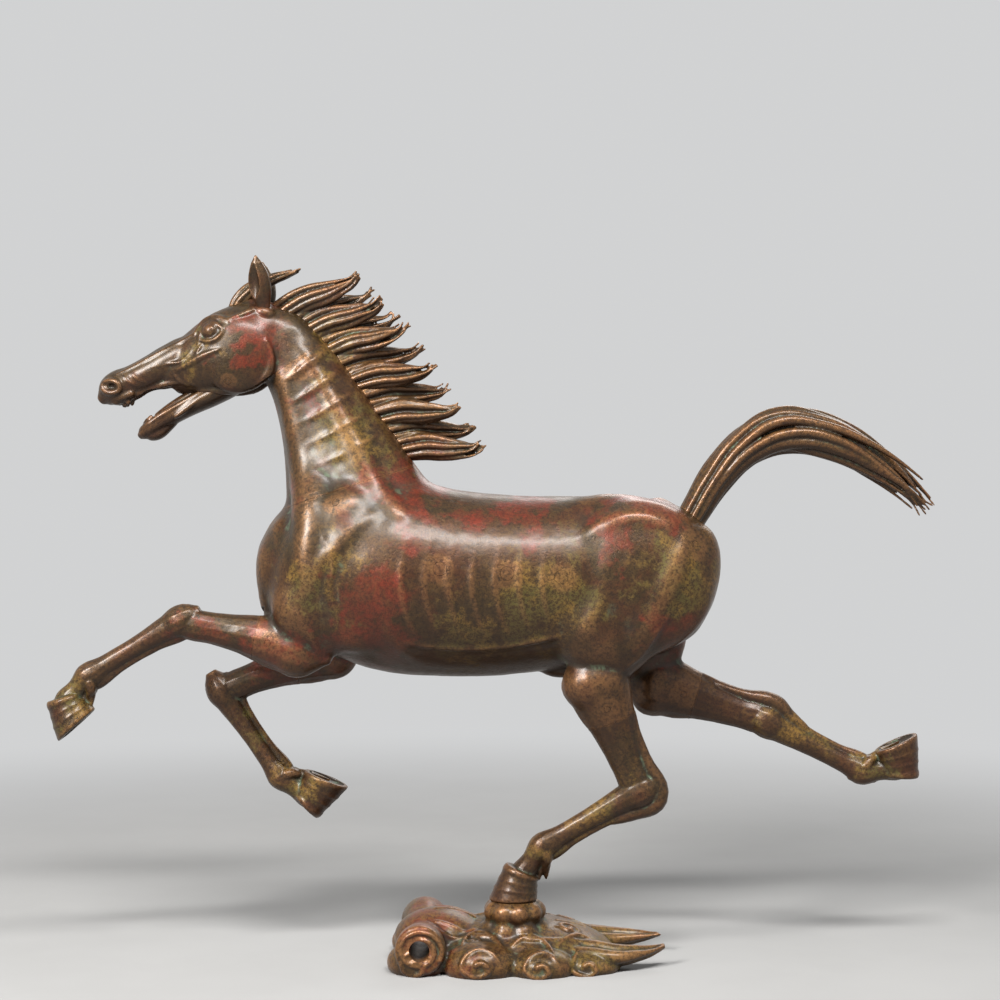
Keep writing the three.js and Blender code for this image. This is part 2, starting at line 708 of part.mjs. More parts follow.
// Ears
sides.forEach((side) => {
  const name = side < 0 ? "ear_left" : "ear_right";
  const [rake, splay] = [radians(ear.rakeAngle), radians(ear.splayAngle)];
  const foot = mirrored(headPoint(ear.placeShares), side);
  const way = moved(point(0, 0, 0), [headWay.down, -Math.cos(rake)], [headWay.ahead, -Math.sin(rake)]);
  way.addScaledVector(across, side * Math.tan(splay)).normalize();
  const facing = moved(point(0, 0, 0), [headWay.ahead, 1], [across, side]).normalize();
  const leaf = (scale, forward) =>
    earShares.map(([along, width, thickness]) => [
      ...moved(foot, [way, along * ear.length], [facing, forward * ear.thickness]).toArray(),
      (scale * thickness * ear.thickness) / 2,
      (scale * width * ear.width) / 2,
      (scale * width * ear.width) / 2,
    ]);
  cast(name, loft(leaf(1, 0), ringsPerRow.hair, facets.limb).subtract(headClear), bodyBronze);
  setPeg(name, "head", moved(foot, [way, -peg.length]), moved(foot, [way, peg.length]));
  const hollow = leaf(earHollow.scaleShare, earHollow.forwardShare);
  drill(name, loft(hollow, ringsPerRow.hair, facets.hair, earHollow.rowShares));
});
const earForms = [bodies.ear_left, bodies.ear_right];

// Forelock, blown back over the poll
const forelockRows = forelockShares.map(([along, rise, girth]) => [
  ...headPoint([along, rise]).toArray(),
  (girth * forelock.width) / 2,
  (girth * forelock.height) / 2,
  (girth * forelock.height) / 2,
]);
const forelockLoft = (grow) => loft(forelockRows, ringsPerRow.hair, facets.hair, { grow });
cast("forelock", cut(forelockLoft(0), [headClear, neckClear, ...earForms]), hairBronze);
setPeg("forelock", "head", ...forelockPegShares.map(headPoint));

// Mane
const maneRowAt = (index) => maneRowShares.start + index * maneRowShares.step;

function maneLock(index, grow) {
  const { centre, ahead, down, over } = stationOf(neckRows, maneRowAt(index));
  const sway = index % 2 ? mane.sway : -mane.sway;
  const rows = lockShares.map(([out, lift, aside, girth]) => {
    const reach = over - mane.rootDepth + out * mane.lockLength;
    const rise = lift * mane.lockLength;
    const place = moved(centre, [down, -reach], [ahead, rise], [across, aside * sway]);
    const [half, depth] = [(girth * mane.lockWidth) / 2, (girth * mane.lockHeight) / 2];
    return [...place.toArray(), half, depth, depth];
  });
  return loft(rows, ringsPerRow.hair, facets.hair, { grow });
}

const maneForm = (first, count, grow) =>
  join(Array.from({ length: count }, (_, i) => maneLock(first + i, grow)));
const maneCarriers = { mane_lower: "neck_shell", mane_middle: "neck_shell", mane_upper: "head" };
const maneSeats = [torsoClear, neckClear, headClear, forelockLoft(casting.seam)];
let firstLock = 0;
Object.entries(maneLockCounts).forEach(([name, count]) => {
  cast(name, cut(maneForm(firstLock, count, 0), maneSeats), hairBronze);
  const { centre, down, over } = stationOf(neckRows, maneRowAt(firstLock));
  const foot = moved(centre, [down, peg.length - over]);
  setPeg(name, maneCarriers[name], foot, moved(centre, [down, -over - peg.length]));
  maneSeats.push(maneForm(firstLock, count, casting.seam));
  firstLock += count;
});

// Tail: a core and locks that twist round it, with a spigot into the boss and a pin across it
function tailLoft(turn, { spread, girth, reach }) {
  const rows = tailPathShares.map(([back, up, down, thickness], i) => {
    const size = thickness * tail.girth;
    const angle = radians(turn + i * tail.twistAngle);
    const place = moved(
      tailRoot,
      [backward, back * reach * tail.length],
      [upward, up * tail.rise - down * tail.drop + Math.sin(angle) * spread * size],
      [across, Math.cos(angle) * spread * size],
    );
    const half = (girth * size) / 2;
    return [...place.toArray(), half, half, half];
  });
  return loft(rows, ringsPerRow.hair, facets.hair);
}

const tailLocks = Array.from({ length: tail.lockCount }, (_, k) => {
  const reach = 1 - (k % 3) * tailLockShares.shorter;
  return tailLoft((fullTurn * k) / tail.lockCount, { ...tailLockShares, reach });
});
const tailWay = tailLoft(0, tailCoreShares);
const tailHeading = point(
  (tailPathShares[1][0] - tailPathShares[0][0]) * tail.length,
  0,
  (tailPathShares[1][1] - tailPathShares[0][1]) * tail.rise,
).normalize();
const spigotFoot = moved(tailRoot, [tailHeading, -tailSpigot.length]);
const spigotTop = moved(tailRoot, [tailHeading, tailSpigot.length]);
const spigot = bar(spigotFoot, spigotTop, tailSpigot.radius);
cast("tail", join([tailWay, ...tailLocks]).subtract(torsoClear).add(spigot), hairBronze);
const spigotBoreEnd = moved(spigotFoot, [tailHeading, -tenon.endGap]);
drill("torso_shell", bar(spigotBoreEnd, spigotTop, tailSpigot.radius + casting.seam));

// Lower legs, with tenons up into the legs' roots
limbs.forEach((limb) => {
  const { centre, ahead, half } = stationOf(limb.rows[1], 1);
  const foot = moved(centre, [ahead, -tenon.length]);
  const top = moved(centre, [ahead, tenon.length]);
  const limbTenon = bar(foot, top, tenon.radius);
  cast(limb.name, lowerLimb(limb).subtract(torsoClear).add(limbTenon), limbBronze);
  drill("torso_shell", bar(moved(foot, [ahead, -tenon.endGap]), top, tenon.radius + casting.seam));
  const ends = crossEnds(moved(centre, [ahead, -tenon.length / 2]), half + casting.wall);
  drivePin(`${limb.name}_pin`, torsoSolid, ...ends, ["torso_shell", limb.name]);
});

// Pins of the neck, the head, the jaw and the tail
const neckPinStation = stationOf(neckRows, neckSleeve.pinRow);
sleevePinAngles.forEach((angle, i) => {
  const { centre, side, down, half, under } = neckPinStation;
  const [aside, below] = [Math.cos(radians(angle)) * half, Math.sin(radians(angle)) * under];
  const out = moved(point(0, 0, 0), [side, aside], [down, below]);
  const inner = moved(centre, [out, 1 - (2 * casting.wall + sleeve.wall) / out.length()]);
  const outer = moved(centre, [out, 1 + casting.wall / out.length()]);
  drivePin(`neck_pin_${i + 1}`, torsoSolid, inner, outer, ["torso_shell", "neck_shell"]);
});
const headPinStation = stationOf(neckRows, headSleeve.pinRow);
const headPinEnds = crossEnds(headPinStation.centre, headPinStation.half + casting.wall);
drivePin("head_pin", neckSolid, ...headPinEnds, ["neck_shell", "head"]);
const jawPinEnds = crossEnds(jawPoint(jawTenonShares.pin), head.length / 2);
drivePin("jaw_pin", headSolid, ...jawPinEnds, ["head", "lower_jaw"]);
const tailPinPlace = moved(tailRoot, [tailHeading, -tailSpigot.length / 2]);
drivePin("tail_pin", torsoSolid, ...crossEnds(tailPinPlace, trunk.width / 2), ["torso_shell", "tail"]);
fittings.forEach((fit) => fit());

// Cloud base. The hoof stands on its pad.
const standing = limbs.find(({ name }) => name === standingLeg);
const { coronet, sole } = hoofPlace(standing);
const ground = sole.z - casting.seam - base.padHeight;
const basePoint = ([along, out, up]) =>
  point(sole.x + along * base.length, out * base.width, ground + up * base.moundHeight);

const moundSize = [
  moundShares.length * base.length,
  moundShares.width * base.width,
  moundShares.height * base.moundHeight,
];
const plumeRows = plumeShares.map(([up, lean, girth]) => [
  sole.x,
  sole.y * lean,
  ground + up * base.padHeight,
  (girth * plume.width) / 2,
  (girth * plume.length) / 2,
  (girth * plume.length) / 2,
]);
const wispLoft = (side) => {
  const start = basePoint([wisp.startShare, side * wisp.sideShare, 0]);
  const rows = wispShares.map(([along, out, up, girth]) => [
    start.x + along * wisp.length,
    start.y + side * out * wisp.length,
    start.z + up * base.moundHeight,
    (girth * wisp.width) / 2,
    (girth * wisp.height) / 2,
    (girth * wisp.height) / 2,
  ]);
  return loft(rows, ringsPerRow.hair, facets.hair);
};
const lobes = lobeShares.map(([along, out, up, length, width, height]) => {
  const size = [length * base.length, width * base.width, height * base.moundHeight];
  return ball(basePoint([along, out, up]), size);
});
const slab = (low, high) => {
  const shape = new THREE.BoxGeometry(2 * base.length, 2 * base.width, high - low);
  shape.translate(sole.x, 0, (low + high) / 2);
  return solidOf(shape);
};

// Rod down the standing leg and through the base, with its bore
const rodFoot = ground + supportRod.footClearance;
const rodRow = (place) => [...place.toArray(), supportRod.radius, supportRod.radius, supportRod.radius];
const rodRows = [
  ...[1 + supportRod.startShare, 2].map((row) => rodRow(stationOf(standing.rows[1], row).centre)),
  ...[1, 2].map((row) => rodRow(stationOf(standing.rows[2], row).centre)),
  rodRow(coronet),
  rodRow(point(coronet.x, coronet.y, ground + base.padHeight)),
  rodRow(point(coronet.x, coronet.y, rodFoot)),
];
const rodLoft = (grow) => loft(rodRows, ringsPerRow.rod, facets.drill, { grow });
cast("support_rod", rodLoft(0), steel);
drill(standingLeg, rodLoft(casting.seam));

const nutBottom = rodFoot + nut.threadBelow;
const washerBottom = nutBottom + nut.height + casting.seam;
const bossBottom = washerBottom + washer.height + casting.seam;
const onRod = (z) => point(coronet.x, coronet.y, z);
const boreEnds = [ground - overrun, ground + base.padHeight + overrun].map(onRod);
const rodBore = bar(...boreEnds, supportRod.radius + casting.seam);
const nutRadius = nut.acrossFlats / Math.sqrt(3);
const nutBlank = bar(onRod(nutBottom), onRod(nutBottom + nut.height), nutRadius, facets.nut);
const washerBlank = bar(onRod(washerBottom), onRod(washerBottom + washer.height), washer.radius);
cast("base_nut", nutBlank.subtract(rodBore), steel);
cast("base_washer", washerBlank.subtract(rodBore), steel);

const moundHollow = ball(basePoint([0, 0, 0]), moundSize, { grow: -casting.wall });
const rodBoss = bar(onRod(bossBottom), onRod(ground + base.padHeight), base.bossRadius);
const [voluteAlong, voluteUp] = volute.placeShares;
const volutePlace = basePoint([voluteAlong, 0, voluteUp]);
const voluteBore = bar(...crossEnds(volutePlace, base.width), volute.boreRadius);
const wholeBase = join([
  ball(basePoint([0, 0, 0]), moundSize),
  ...lobes,
  bar(...crossEnds(volutePlace, volute.rollWidth / 2), volute.rollRadius),
  loft(plumeRows, ringsPerRow.hair, facets.neck),
  ...sides.map(wispLoft),
]);
cast(
  "cloud_base",
  cut(wholeBase, [
    moundHollow.subtract(rodBoss),
    slab(ground - overrun, ground),
    slab(ground + base.padHeight, ground + base.padHeight + overrun),
    rodBore,
    voluteBore,
  ]),
  baseBronze,
);

// The statue, moved so that its origin is on the ground under the middle of its box
const statue = new THREE.Group();
Object.entries(bodies).forEach(([name, solid]) => {
  const mesh = new THREE.Mesh(geometryOf(solid), finishes[name]);
  mesh.name = name;
  statue.add(mesh);
});
const box = new THREE.Box3().setFromObject(statue, true);
const middle = box.getCenter(point(0, 0, 0));
statue.position.set(-middle.x, -middle.y, -box.min.z);

const root = new THREE.Group();
root.add(statue);
export default root;
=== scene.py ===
import math
import random

import bpy
import numpy as np
from mathutils import Matrix, Vector
from mathutils.bvhtree import BVHTree


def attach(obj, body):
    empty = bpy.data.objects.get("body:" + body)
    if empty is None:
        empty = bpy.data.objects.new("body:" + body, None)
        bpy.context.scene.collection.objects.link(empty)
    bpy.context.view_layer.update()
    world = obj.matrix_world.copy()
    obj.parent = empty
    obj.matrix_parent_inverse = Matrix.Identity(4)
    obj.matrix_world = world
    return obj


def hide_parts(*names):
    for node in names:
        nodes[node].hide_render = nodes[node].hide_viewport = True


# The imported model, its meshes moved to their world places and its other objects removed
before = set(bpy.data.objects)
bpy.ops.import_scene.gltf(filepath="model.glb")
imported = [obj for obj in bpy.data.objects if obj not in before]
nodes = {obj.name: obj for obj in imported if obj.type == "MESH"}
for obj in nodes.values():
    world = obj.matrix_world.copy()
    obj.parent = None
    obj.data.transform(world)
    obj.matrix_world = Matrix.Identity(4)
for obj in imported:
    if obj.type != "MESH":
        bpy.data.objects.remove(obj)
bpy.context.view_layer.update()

# Places and sizes are written in millimetres, and this brings them to metres
mm = 0.001
left, right = -1, 1
sides = (left, right)


# Making forms

def select(*items):
    bpy.ops.object.select_all(action="DESELECT")
    for item in items:
        item.select_set(True)
    bpy.context.view_layer.objects.active = items[0]


def settle(item):
    """Moves an object's place, turn and scale into its mesh."""
    select(item)
    bpy.ops.object.transform_apply(location=True, rotation=True, scale=True)
    return item


def ball(place, size, lean=0.0):
    """An egg shape with its full sizes, its top leaning back by degrees."""
    bpy.ops.mesh.primitive_uv_sphere_add(
        segments=40,
        ring_count=20,
        radius=0.5,
        location=[v * mm for v in place],
        rotation=(0, math.radians(lean), 0),
        scale=[v * mm for v in size],
    )
    return settle(bpy.context.object)


def balls(place, size, lean=0.0):
    """The same egg shape on both sides."""
    x, y, z = place
    return [ball((x, side * y, z), size, lean) for side in sides]


def domed(path):
    """A path with a small knot beyond each end, so that its stroke ends round."""
    ends = []
    for (*end, radius), (*inner, _) in ((path[0], path[1]), (path[-1], path[-2])):
        end, inner = Vector(end), Vector(inner)
        ends.append((*(end + (end - inner).normalized() * radius * 0.7), radius * 0.5))
    return [ends[0], *path, ends[1]]


def strokes(paths, flat=1.0, middle=0.0, closed=False, round_ends=True, smoothness=6, roundness=5):
    """Round strokes as one mesh. A path holds (x, y, z, radius) rows.
    The strokes' sections are flattened across the plane y = middle."""
    bpy.ops.curve.primitive_bezier_curve_add(location=(0, 0, 0))
    item = bpy.context.object
    curve = item.data
    curve.splines.clear()
    curve.dimensions = "3D"
    curve.bevel_depth = mm
    curve.bevel_resolution = roundness
    curve.resolution_u = smoothness
    curve.use_fill_caps = True
    for path in map(domed, paths) if round_ends and not closed else paths:
        spline = curve.splines.new("BEZIER")
        spline.radius_interpolation = "CARDINAL"
        spline.use_cyclic_u = closed
        spline.bezier_points.add(len(path) - 1)
        for knot, (x, y, z, radius) in zip(spline.bezier_points, path):
            knot.co = (x * mm, (y - middle) / flat * mm, z * mm)
            knot.radius = radius
        for knot in spline.bezier_points:
            knot.handle_left_type = knot.handle_right_type = "AUTO"
    item.scale.y = flat
    item.location.y = middle * mm
    select(item)
    bpy.ops.object.convert(target="MESH")
    return settle(bpy.context.object)


def apply_all(item):
    select(item)
    for modifier in list(item.modifiers):
        bpy.ops.object.modifier_apply(modifier=modifier.name)
    return item


def join(name, parts):
    select(*parts)
    if len(parts) > 1:
        bpy.ops.object.join()
    item = bpy.context.object
    item.name = item.data.name = name
    return item


def fuse(name, parts, voxel, rounds, hammered=0.0):
    """One closed skin over overlapping forms, with its creases softened.
    It can be given the faint waves of a hand-worked wax."""
    item = join(name, parts)
    remesh = item.modifiers.new("Skin", "REMESH")
    remesh.mode = "VOXEL"
    remesh.voxel_size = voxel * mm
    smooth = item.modifiers.new("Soften", "SMOOTH")
    smooth.factor = 0.5
    smooth.iterations = rounds
    if hammered:
        waves = item.modifiers.new("Waves", "DISPLACE")
        waves.texture = wax_waves
        waves.texture_coords = "LOCAL"
        waves.strength = hammered * mm
        waves.mid_level = 0.5
    return apply_all(item)


wax_waves = bpy.data.textures.new("wax_waves", "CLOUDS")
wax_waves.noise_scale = 9 * mm
wax_waves.noise_depth = 2


def without_crumbs(item):
    """Keeps the largest of an object's separate shells."""
    select(item)
    bpy.ops.mesh.separate(type="LOOSE")
    shells = sorted(bpy.context.selected_objects, key=lambda shell: len(shell.data.vertices))
    name = item.name.split(".")[0]
    for crumb in shells[:-1]:
        bpy.data.objects.remove(crumb)
    shells[-1].name = shells[-1].data.name = name
    return shells[-1]


def skin_of(item):
    """The faces of an object, for laying things on them."""
    mesh = item.data
    return BVHTree.FromPolygons([v.co for v in mesh.vertices], [p.vertices for p in mesh.polygons])


def laid(skin, rows, way, sunk=0.4):
    """A path on a skin, from rows of x, y, z and radius that are moved along a way until they meet it.
    It lies in the skin by a share of its radius."""
    way = Vector(way).normalized()
    path = []
    for x, y, z, radius in rows:
        start = (Vector((x, y, z)) - way * 100) * mm
        place, normal, *_ = skin.ray_cast(start, way)
        if place:
            path.append((*(place / mm - normal * radius * sunk), radius))
    return path


def laid_on_side(skin, rows, side, sunk=0.4):
    """A path on one side, from rows of x, z and radius. A place that misses that side is left out."""
    path = laid(skin, [(x, 0, z, r) for x, z, r in rows], (0, -side, 0), sunk)
    return [knot for knot in path if knot[1] * side > -1]


def laid_both(skin, rows, sunk=0.4):
    """The same path on the left and on the right."""
    return [laid_on_side(skin, rows, side, sunk) for side in sides]


def copy_of(item, name):
    select(item)
    bpy.ops.object.duplicate()
    made = bpy.context.object
    made.name = made.data.name = name
    return made


def cut_with(item, tool, operation="DIFFERENCE", keep_tool=False):
    """Cuts with the quick solver where both meshes suit it, or else with the exact one."""
    for solver in ("MANIFOLD", "EXACT"):
        vertices_before = len(item.data.vertices)
        cut = item.modifiers.new("Cut", "BOOLEAN")
        cut.operation = operation
        cut.solver = solver
        cut.object = tool
        apply_all(item)
        if len(item.data.vertices) != vertices_before:
            break
        item.modifiers.clear()
    if not keep_tool:
        bpy.data.objects.remove(tool)
    return item


def slice_off(item, place, direction):
    """Takes away what lies past a plane, and closes the cut."""
    select(item)
    bpy.ops.object.mode_set(mode="EDIT")
    bpy.ops.mesh.select_all(action="SELECT")
    bpy.ops.mesh.bisect(
        plane_co=[v * mm for v in place],
        plane_no=direction,
        use_fill=True,
        clear_outer=True,
        threshold=1e-6,
    )
    bpy.ops.object.mode_set(mode="OBJECT")
    return item


def bar(start, end, radius, vertices=48):
    """A round bar between two places."""
    start, end = Vector(start), Vector(end)
    bpy.ops.mesh.primitive_cylinder_add(
        vertices=vertices,
        radius=radius * mm,
        depth=(end - start).length * mm,
        location=(start + end) / 2 * mm,
        rotation=(end - start).to_track_quat("Z", "Y").to_euler(),
    )
    return settle(bpy.context.object)


# Barrel, neck and muscles of the horse: places along the barrel run from the buttock forwards

barrel_rows = [
    (111, 0, 186, 8), (105, 0, 187, 24), (91, 0, 189.5, 36), (69, 0, 192, 40), (41, 0, 190, 42.4),
    (9, 0, 187.8, 45), (-23, 0, 188.6, 47), (-55, 0, 193.2, 48), (-82, 0, 198.6, 41), (-101, 0, 201, 30.6),
    (-113, 0, 202, 18.5), (-119, 0, 202.5, 6),
]
neck_rows = [
    (-57, 0, 189, 39), (-63, 0, 211, 40.5), (-71, 0, 234.5, 35), (-79, 0, 257, 28.2), (-88, 0, 278.5, 22.6),
    (-99, 0, 298.5, 19), (-110, 0, 313, 16.6), (-117, 0, 320.5, 11),
]
barrel_flat = 0.88
neck_flat = 0.71

# Shoulder, upper arm, point of the shoulder, breast, withers, haunch, croup, buttock, stifle, flank
muscles = [
    # place, size, lean
    ((-79, 24, 199), (52, 27, 80), 22),
    ((-66, 26, 180), (48, 21, 50), 35),
    ((-93, 23, 177), (34, 26, 44), -10),
    ((-101, 9, 192), (36, 30, 52), -8),
    ((-60, 9, 230), (50, 20, 36), 24),
    ((70, 22, 192), (78, 34, 78), 24),
    ((66, 11, 212), (78, 34, 42), 10),
    ((94, 16, 192), (34, 32, 58), 14),
    ((50, 25, 170), (44, 25, 54), -30),
    ((10, 14, 188), (120, 46, 74), 2),
]


def on_bone(limb, bone, rows):
    """A path beside a bone. Its rows hold a share of the way down the bone, how far out
    towards the bone's front, and a radius."""
    start, end = limb["joints"][bone], limb["joints"][bone + 1]
    way = end - start
    ahead = way.normalized()
    facing = Vector((ahead.z, 0, -ahead.x))
    return [(*(start + way * share + facing * front), radius) for share, front, radius in rows]


# Bones from the trunk down to the pastern: how flat each is, and the strokes that lie along it
fore_bones = [
    (0.56, [[(-0.3, 0, 12), (0.0, 0, 20), (0.5, 0, 19.5), (1.0, 0, 14.5), (1.25, 0, 7)]]),
    (0.8, [
        [
            (-0.12, -1, 8), (0.02, -1, 14), (0.2, 0.5, 13.2), (0.42, 0.8, 10.8), (0.7, 0.5, 8.2),
            (0.92, 0, 7.8), (1.04, 0, 6.5),
        ],
        [(0.02, 5, 4), (0.2, 7.2, 6.4), (0.48, 5, 4.4), (0.78, 3.5, 2.4)],
        [(0.0, -7, 5), (0.2, -7.6, 6), (0.5, -5.2, 4), (0.85, -4.2, 2.4)],
    ]),
    (0.86, [
        [
            (-0.13, 0.5, 6), (0.0, 0.8, 8.1), (0.13, 1, 6.6), (0.45, 0.9, 5.0), (0.8, 0.5, 5.2),
            (0.96, 0, 6.8), (1.07, 0, 5),
        ],
        [
            (-0.1, -5.5, 2.2), (0.04, -5.4, 3.2), (0.3, -4.4, 2.1), (0.7, -4.4, 2.1), (0.92, -5, 3.4),
            (1.02, -4.6, 2.6),
        ],
        [(-0.09, 4.6, 3.2), (0.03, 5.2, 3.6), (0.12, 4.4, 2)],
    ]),
    (0.95, [[(-0.3, 0, 5.4), (0.0, 0, 6.5), (0.45, 0.2, 5.1), (1.0, 0.5, 5.9), (1.35, 0.4, 4)]]),
]
hind_bones = [
    (0.54, [[(-0.3, 0, 18), (0.0, 0, 26), (0.5, 1, 24.5), (0.9, 0.5, 18), (1.12, 0, 9)]]),
    (0.68, [
        [
            (-0.1, 0, 11), (0.03, 0, 17), (0.22, -0.5, 14.8), (0.45, 0, 11.2), (0.75, 0.5, 8.2),
            (0.95, 0, 8.4), (1.03, 0, 6.5),
        ],
        [(0.15, -8, 6), (0.35, -8.8, 4.6), (0.55, -8.4, 3.4), (0.85, -8, 3)],
        [(0.05, 8, 6), (0.25, 8.2, 6.4), (0.5, 5, 4.4), (0.8, 3.6, 2.4)],
    ]),
    (0.84, [
        [
            (-0.11, 0, 7), (0.0, 0.6, 8.8), (0.14, 0.8, 7.2), (0.45, 0.9, 5.4), (0.8, 0.4, 5.4),
            (0.96, 0, 6.9), (1.07, 0, 5),
        ],
        [(0.04, -6.6, 4), (0.3, -4.9, 2.6), (0.7, -4.7, 2.2), (0.92, -5.2, 3.5), (1.02, -4.8, 2.6)],
    ]),
    (0.95, [[(-0.3, 0, 5.4), (0.0, 0, 6.6), (0.45, 0.2, 5.3), (1.0, 0.5, 6.1), (1.35, 0.4, 4)]]),
]

# A leg has its joints from its root down, the way its toe points in degrees, and where its casting
# meets the torso. Two hooves are deeper than the others.
limbs = {
    "foreleg_left": {
        "bones": fore_bones,
        "joints": [
            (-80.6, -21, 188.7), (-92.2, -20, 156.8), (-153.9, -17.9, 169.9), (-200.6, -16.8, 142.9),
            (-210.3, -16.8, 131),
        ],
        "toe": 42,
        "joint_place": (-116.9, -19.1, 162),
        "joint_way": (-0.978, 0.033, 0.208),
    },
    "foreleg_right": {
        "bones": fore_bones,
        "joints": [
            (-80.6, 21, 188.7), (-79.4, 21, 154.7), (-138.6, 20, 133.2), (-108.4, 18.9, 88.4),
            (-94.3, 18.9, 78.9),
        ],
        "toe": 158,
        "deeper": 2.4,
        "joint_place": (-103.1, 20.6, 146.1),
        "joint_way": (-0.94, -0.017, -0.342),
    },
    "hind_leg_left": {
        "bones": hind_bones,
        "joints": [
            (75.8, -21, 191.5), (47.2, -22.1, 145.7), (71.2, -17.9, 86.4), (22.7, -12.6, 58.4),
            (13.2, -10.5, 44.3),
        ],
        "toe": 0,
        "joint_place": (56.8, -20.4, 122),
        "joint_way": (0.374, 0.065, -0.925),
    },
    "hind_leg_right": {
        "bones": hind_bones,
        "joints": [
            (75.8, 21, 191.5), (77.7, 22.1, 137.6), (138.5, 20, 117.8), (188, 18.9, 91.5),
            (204.8, 18.9, 93.9),
        ],
        "toe": 204,
        "deeper": 2.8,
        "joint_place": (102, 21.2, 129.7),
        "joint_way": (0.951, -0.033, -0.309),
    },
}
for limb in limbs.values():
    limb["joints"] = [Vector(joint) for joint in limb["joints"]]
hoof_size = {
    "height": 15, "length": 24.2, "width": 21, "top_length": 16.2, "top_width": 15.6,
    "set_back": 4.4, "sink": 3, "tilt": 20,
}
hoof_hollow_size = (9.6, 7.8, 2.2)
frog_place, frog_shape = (4.6, 0, 0.6), (1.3, 0.62, 0.5)


def limb_forms(limb, bones):
    forms = []
    for index in bones:
        flat, paths = limb["bones"][index]
        middle = (limb["joints"][index].y + limb["joints"][index + 1].y) / 2
        forms.append(strokes([on_bone(limb, index, rows) for rows in paths], flat, middle))
    return forms


def hock_point(limb):
    """The tendon that runs over the point of the hock, behind the joint, and on down the cannon."""
    knee, hock, fetlock = limb["joints"][1:4]
    down, on = (hock - knee).normalized(), (fetlock - hock).normalized()
    behind = Vector((-down.z - on.z, 0, down.x + on.x)).normalized()
    return strokes([[
        *on_bone(limb, 1, [(0.5, -8.4, 3), (0.76, -8.6, 3.1)]),
        (*(hock + behind * 9.6), 4.6),
        *on_bone(limb, 2, [(0.16, -7, 3.8), (0.34, -5, 2.6)]),
    ]])


def hoof_place(limb):
    """Where the middle of a hoof's sole lies, and how the hoof is turned."""
    size = hoof_size
    angle = math.radians(limb["toe"])
    toe = Vector((-math.cos(angle), 0, -math.sin(angle)))
    top = Vector((-math.sin(angle), 0, math.cos(angle)))
    sole = limb["joints"][-1] + top * (size["sink"] - size["height"]) + toe * size["set_back"]
    turn = Matrix((-toe, top.cross(-toe), top)).transposed().to_4x4()
    return Matrix.Translation(sole * mm) @ turn @ Matrix.Scale(mm, 4)


def hoof_height(limb):
    return hoof_size["height"] + limb.get("deeper", 0)


# Rings of a hoof from its sole up: share of its height, and how far it swells there
hoof_rings = [
    (0, 0.96), (0.06, 1), (0.3, 1), (0.35, 1.035), (0.4, 1), (0.56, 1), (0.61, 1.035), (0.66, 1),
    (0.8, 1), (0.85, 1.06), (0.94, 1.07), (1, 0.98),
]


def hoof_form(limb):
    """A hoof with a sloping wall, growth rings and a coronet band."""
    size = hoof_size
    bpy.ops.mesh.primitive_circle_add(vertices=48, radius=0.5, fill_type="NGON")
    item = bpy.context.object
    bpy.ops.object.mode_set(mode="EDIT")
    length = width = 1
    risen = 0
    for share, swell in hoof_rings:
        new_length = (size["length"] + (size["top_length"] - size["length"]) * share) * swell
        new_width = (size["width"] + (size["top_width"] - size["width"]) * share) * swell
        middle = (size["set_back"] * share, 0, hoof_height(limb) * share)
        if share:
            bpy.ops.mesh.extrude_region_move()
            rise = share - risen
            bpy.ops.transform.translate(value=(size["set_back"] * rise, 0, hoof_height(limb) * rise))
        bpy.ops.transform.resize(value=(new_length / length, new_width / width, 1), center_override=middle)
        if share:
            bpy.ops.transform.rotate(
                value=-math.radians(size["tilt"]) * rise, orient_axis="Y", center_override=middle,
            )
        length, width, risen = new_length, new_width, share
    bpy.ops.mesh.select_all(action="SELECT")
    bpy.ops.mesh.normals_make_consistent(inside=False)
    bpy.ops.object.mode_set(mode="OBJECT")
    item.matrix_world = hoof_place(limb)
    return settle(item)


def hoof_hollow(limb):
    """The hollow of a sole, which leaves the rim of the wall and the frog standing."""
    bpy.ops.mesh.primitive_uv_sphere_add(segments=40, ring_count=20, radius=1)
    item = bpy.context.object
    item.matrix_world = hoof_place(limb) @ Matrix.Diagonal((*hoof_hollow_size, 1))
    settle(item)
    bpy.ops.mesh.primitive_cone_add(vertices=3, radius1=6, radius2=4, depth=6)
    frog = bpy.context.object
    turn = Matrix.Rotation(math.radians(90), 4, "Z")
    shape = Matrix.Diagonal((*frog_shape, 1)) @ turn
    frog.matrix_world = hoof_place(limb) @ Matrix.Translation(frog_place) @ shape
    return cut_with(item, settle(frog))


# Locks of a fetlock tuft: how far out to a side, how far behind, how far down
tuft_locks = [(-3.2, 8.4, 0.2), (-1.2, 10.6, 0.3), (1.2, 11, 0.38), (3.2, 8.8, 0.24), (0, 8.2, 0.5)]


def fetlock_tuft(limb):
    """Pointed feather hair behind the fetlock."""
    paths = []
    for out, reach, drop in tuft_locks:
        rows = on_bone(limb, 3, [
            (0.0, -2.5, 3.2), (0.12 + drop / 3, -5.5, 2.8), (0.2 + drop * 0.8, -reach * 0.8, 1.7),
            (0.3 + drop, -reach, 0.7),
        ])
        paths.append([(x, y + out * (1 - row / 6), z, r) for row, (x, y, z, r) in enumerate(rows)])
    return strokes(paths)


# Torso and neck: broad forms first, then the finer ones that lie on them

torso_joint, torso_joint_way = Vector((-71.4, 0, 236.5)), Vector((-0.315, 0, 0.949))
head_joint, head_joint_way = Vector((-99.4, 0, 298.9)), Vector((-0.55, 0, 0.835))

trunk_parts = [
    strokes([barrel_rows], barrel_flat, round_ends=False, roundness=16),
    strokes([neck_rows], neck_flat, round_ends=False, roundness=16),
]
for place, size, lean in muscles:
    trunk_parts += balls(place, size, lean)
for limb in limbs.values():
    trunk_parts += limb_forms(limb, (0,))
trunk_core = fuse("trunk_core", trunk_parts, voxel=1.9, rounds=20)
trunk_skin = skin_of(trunk_core)

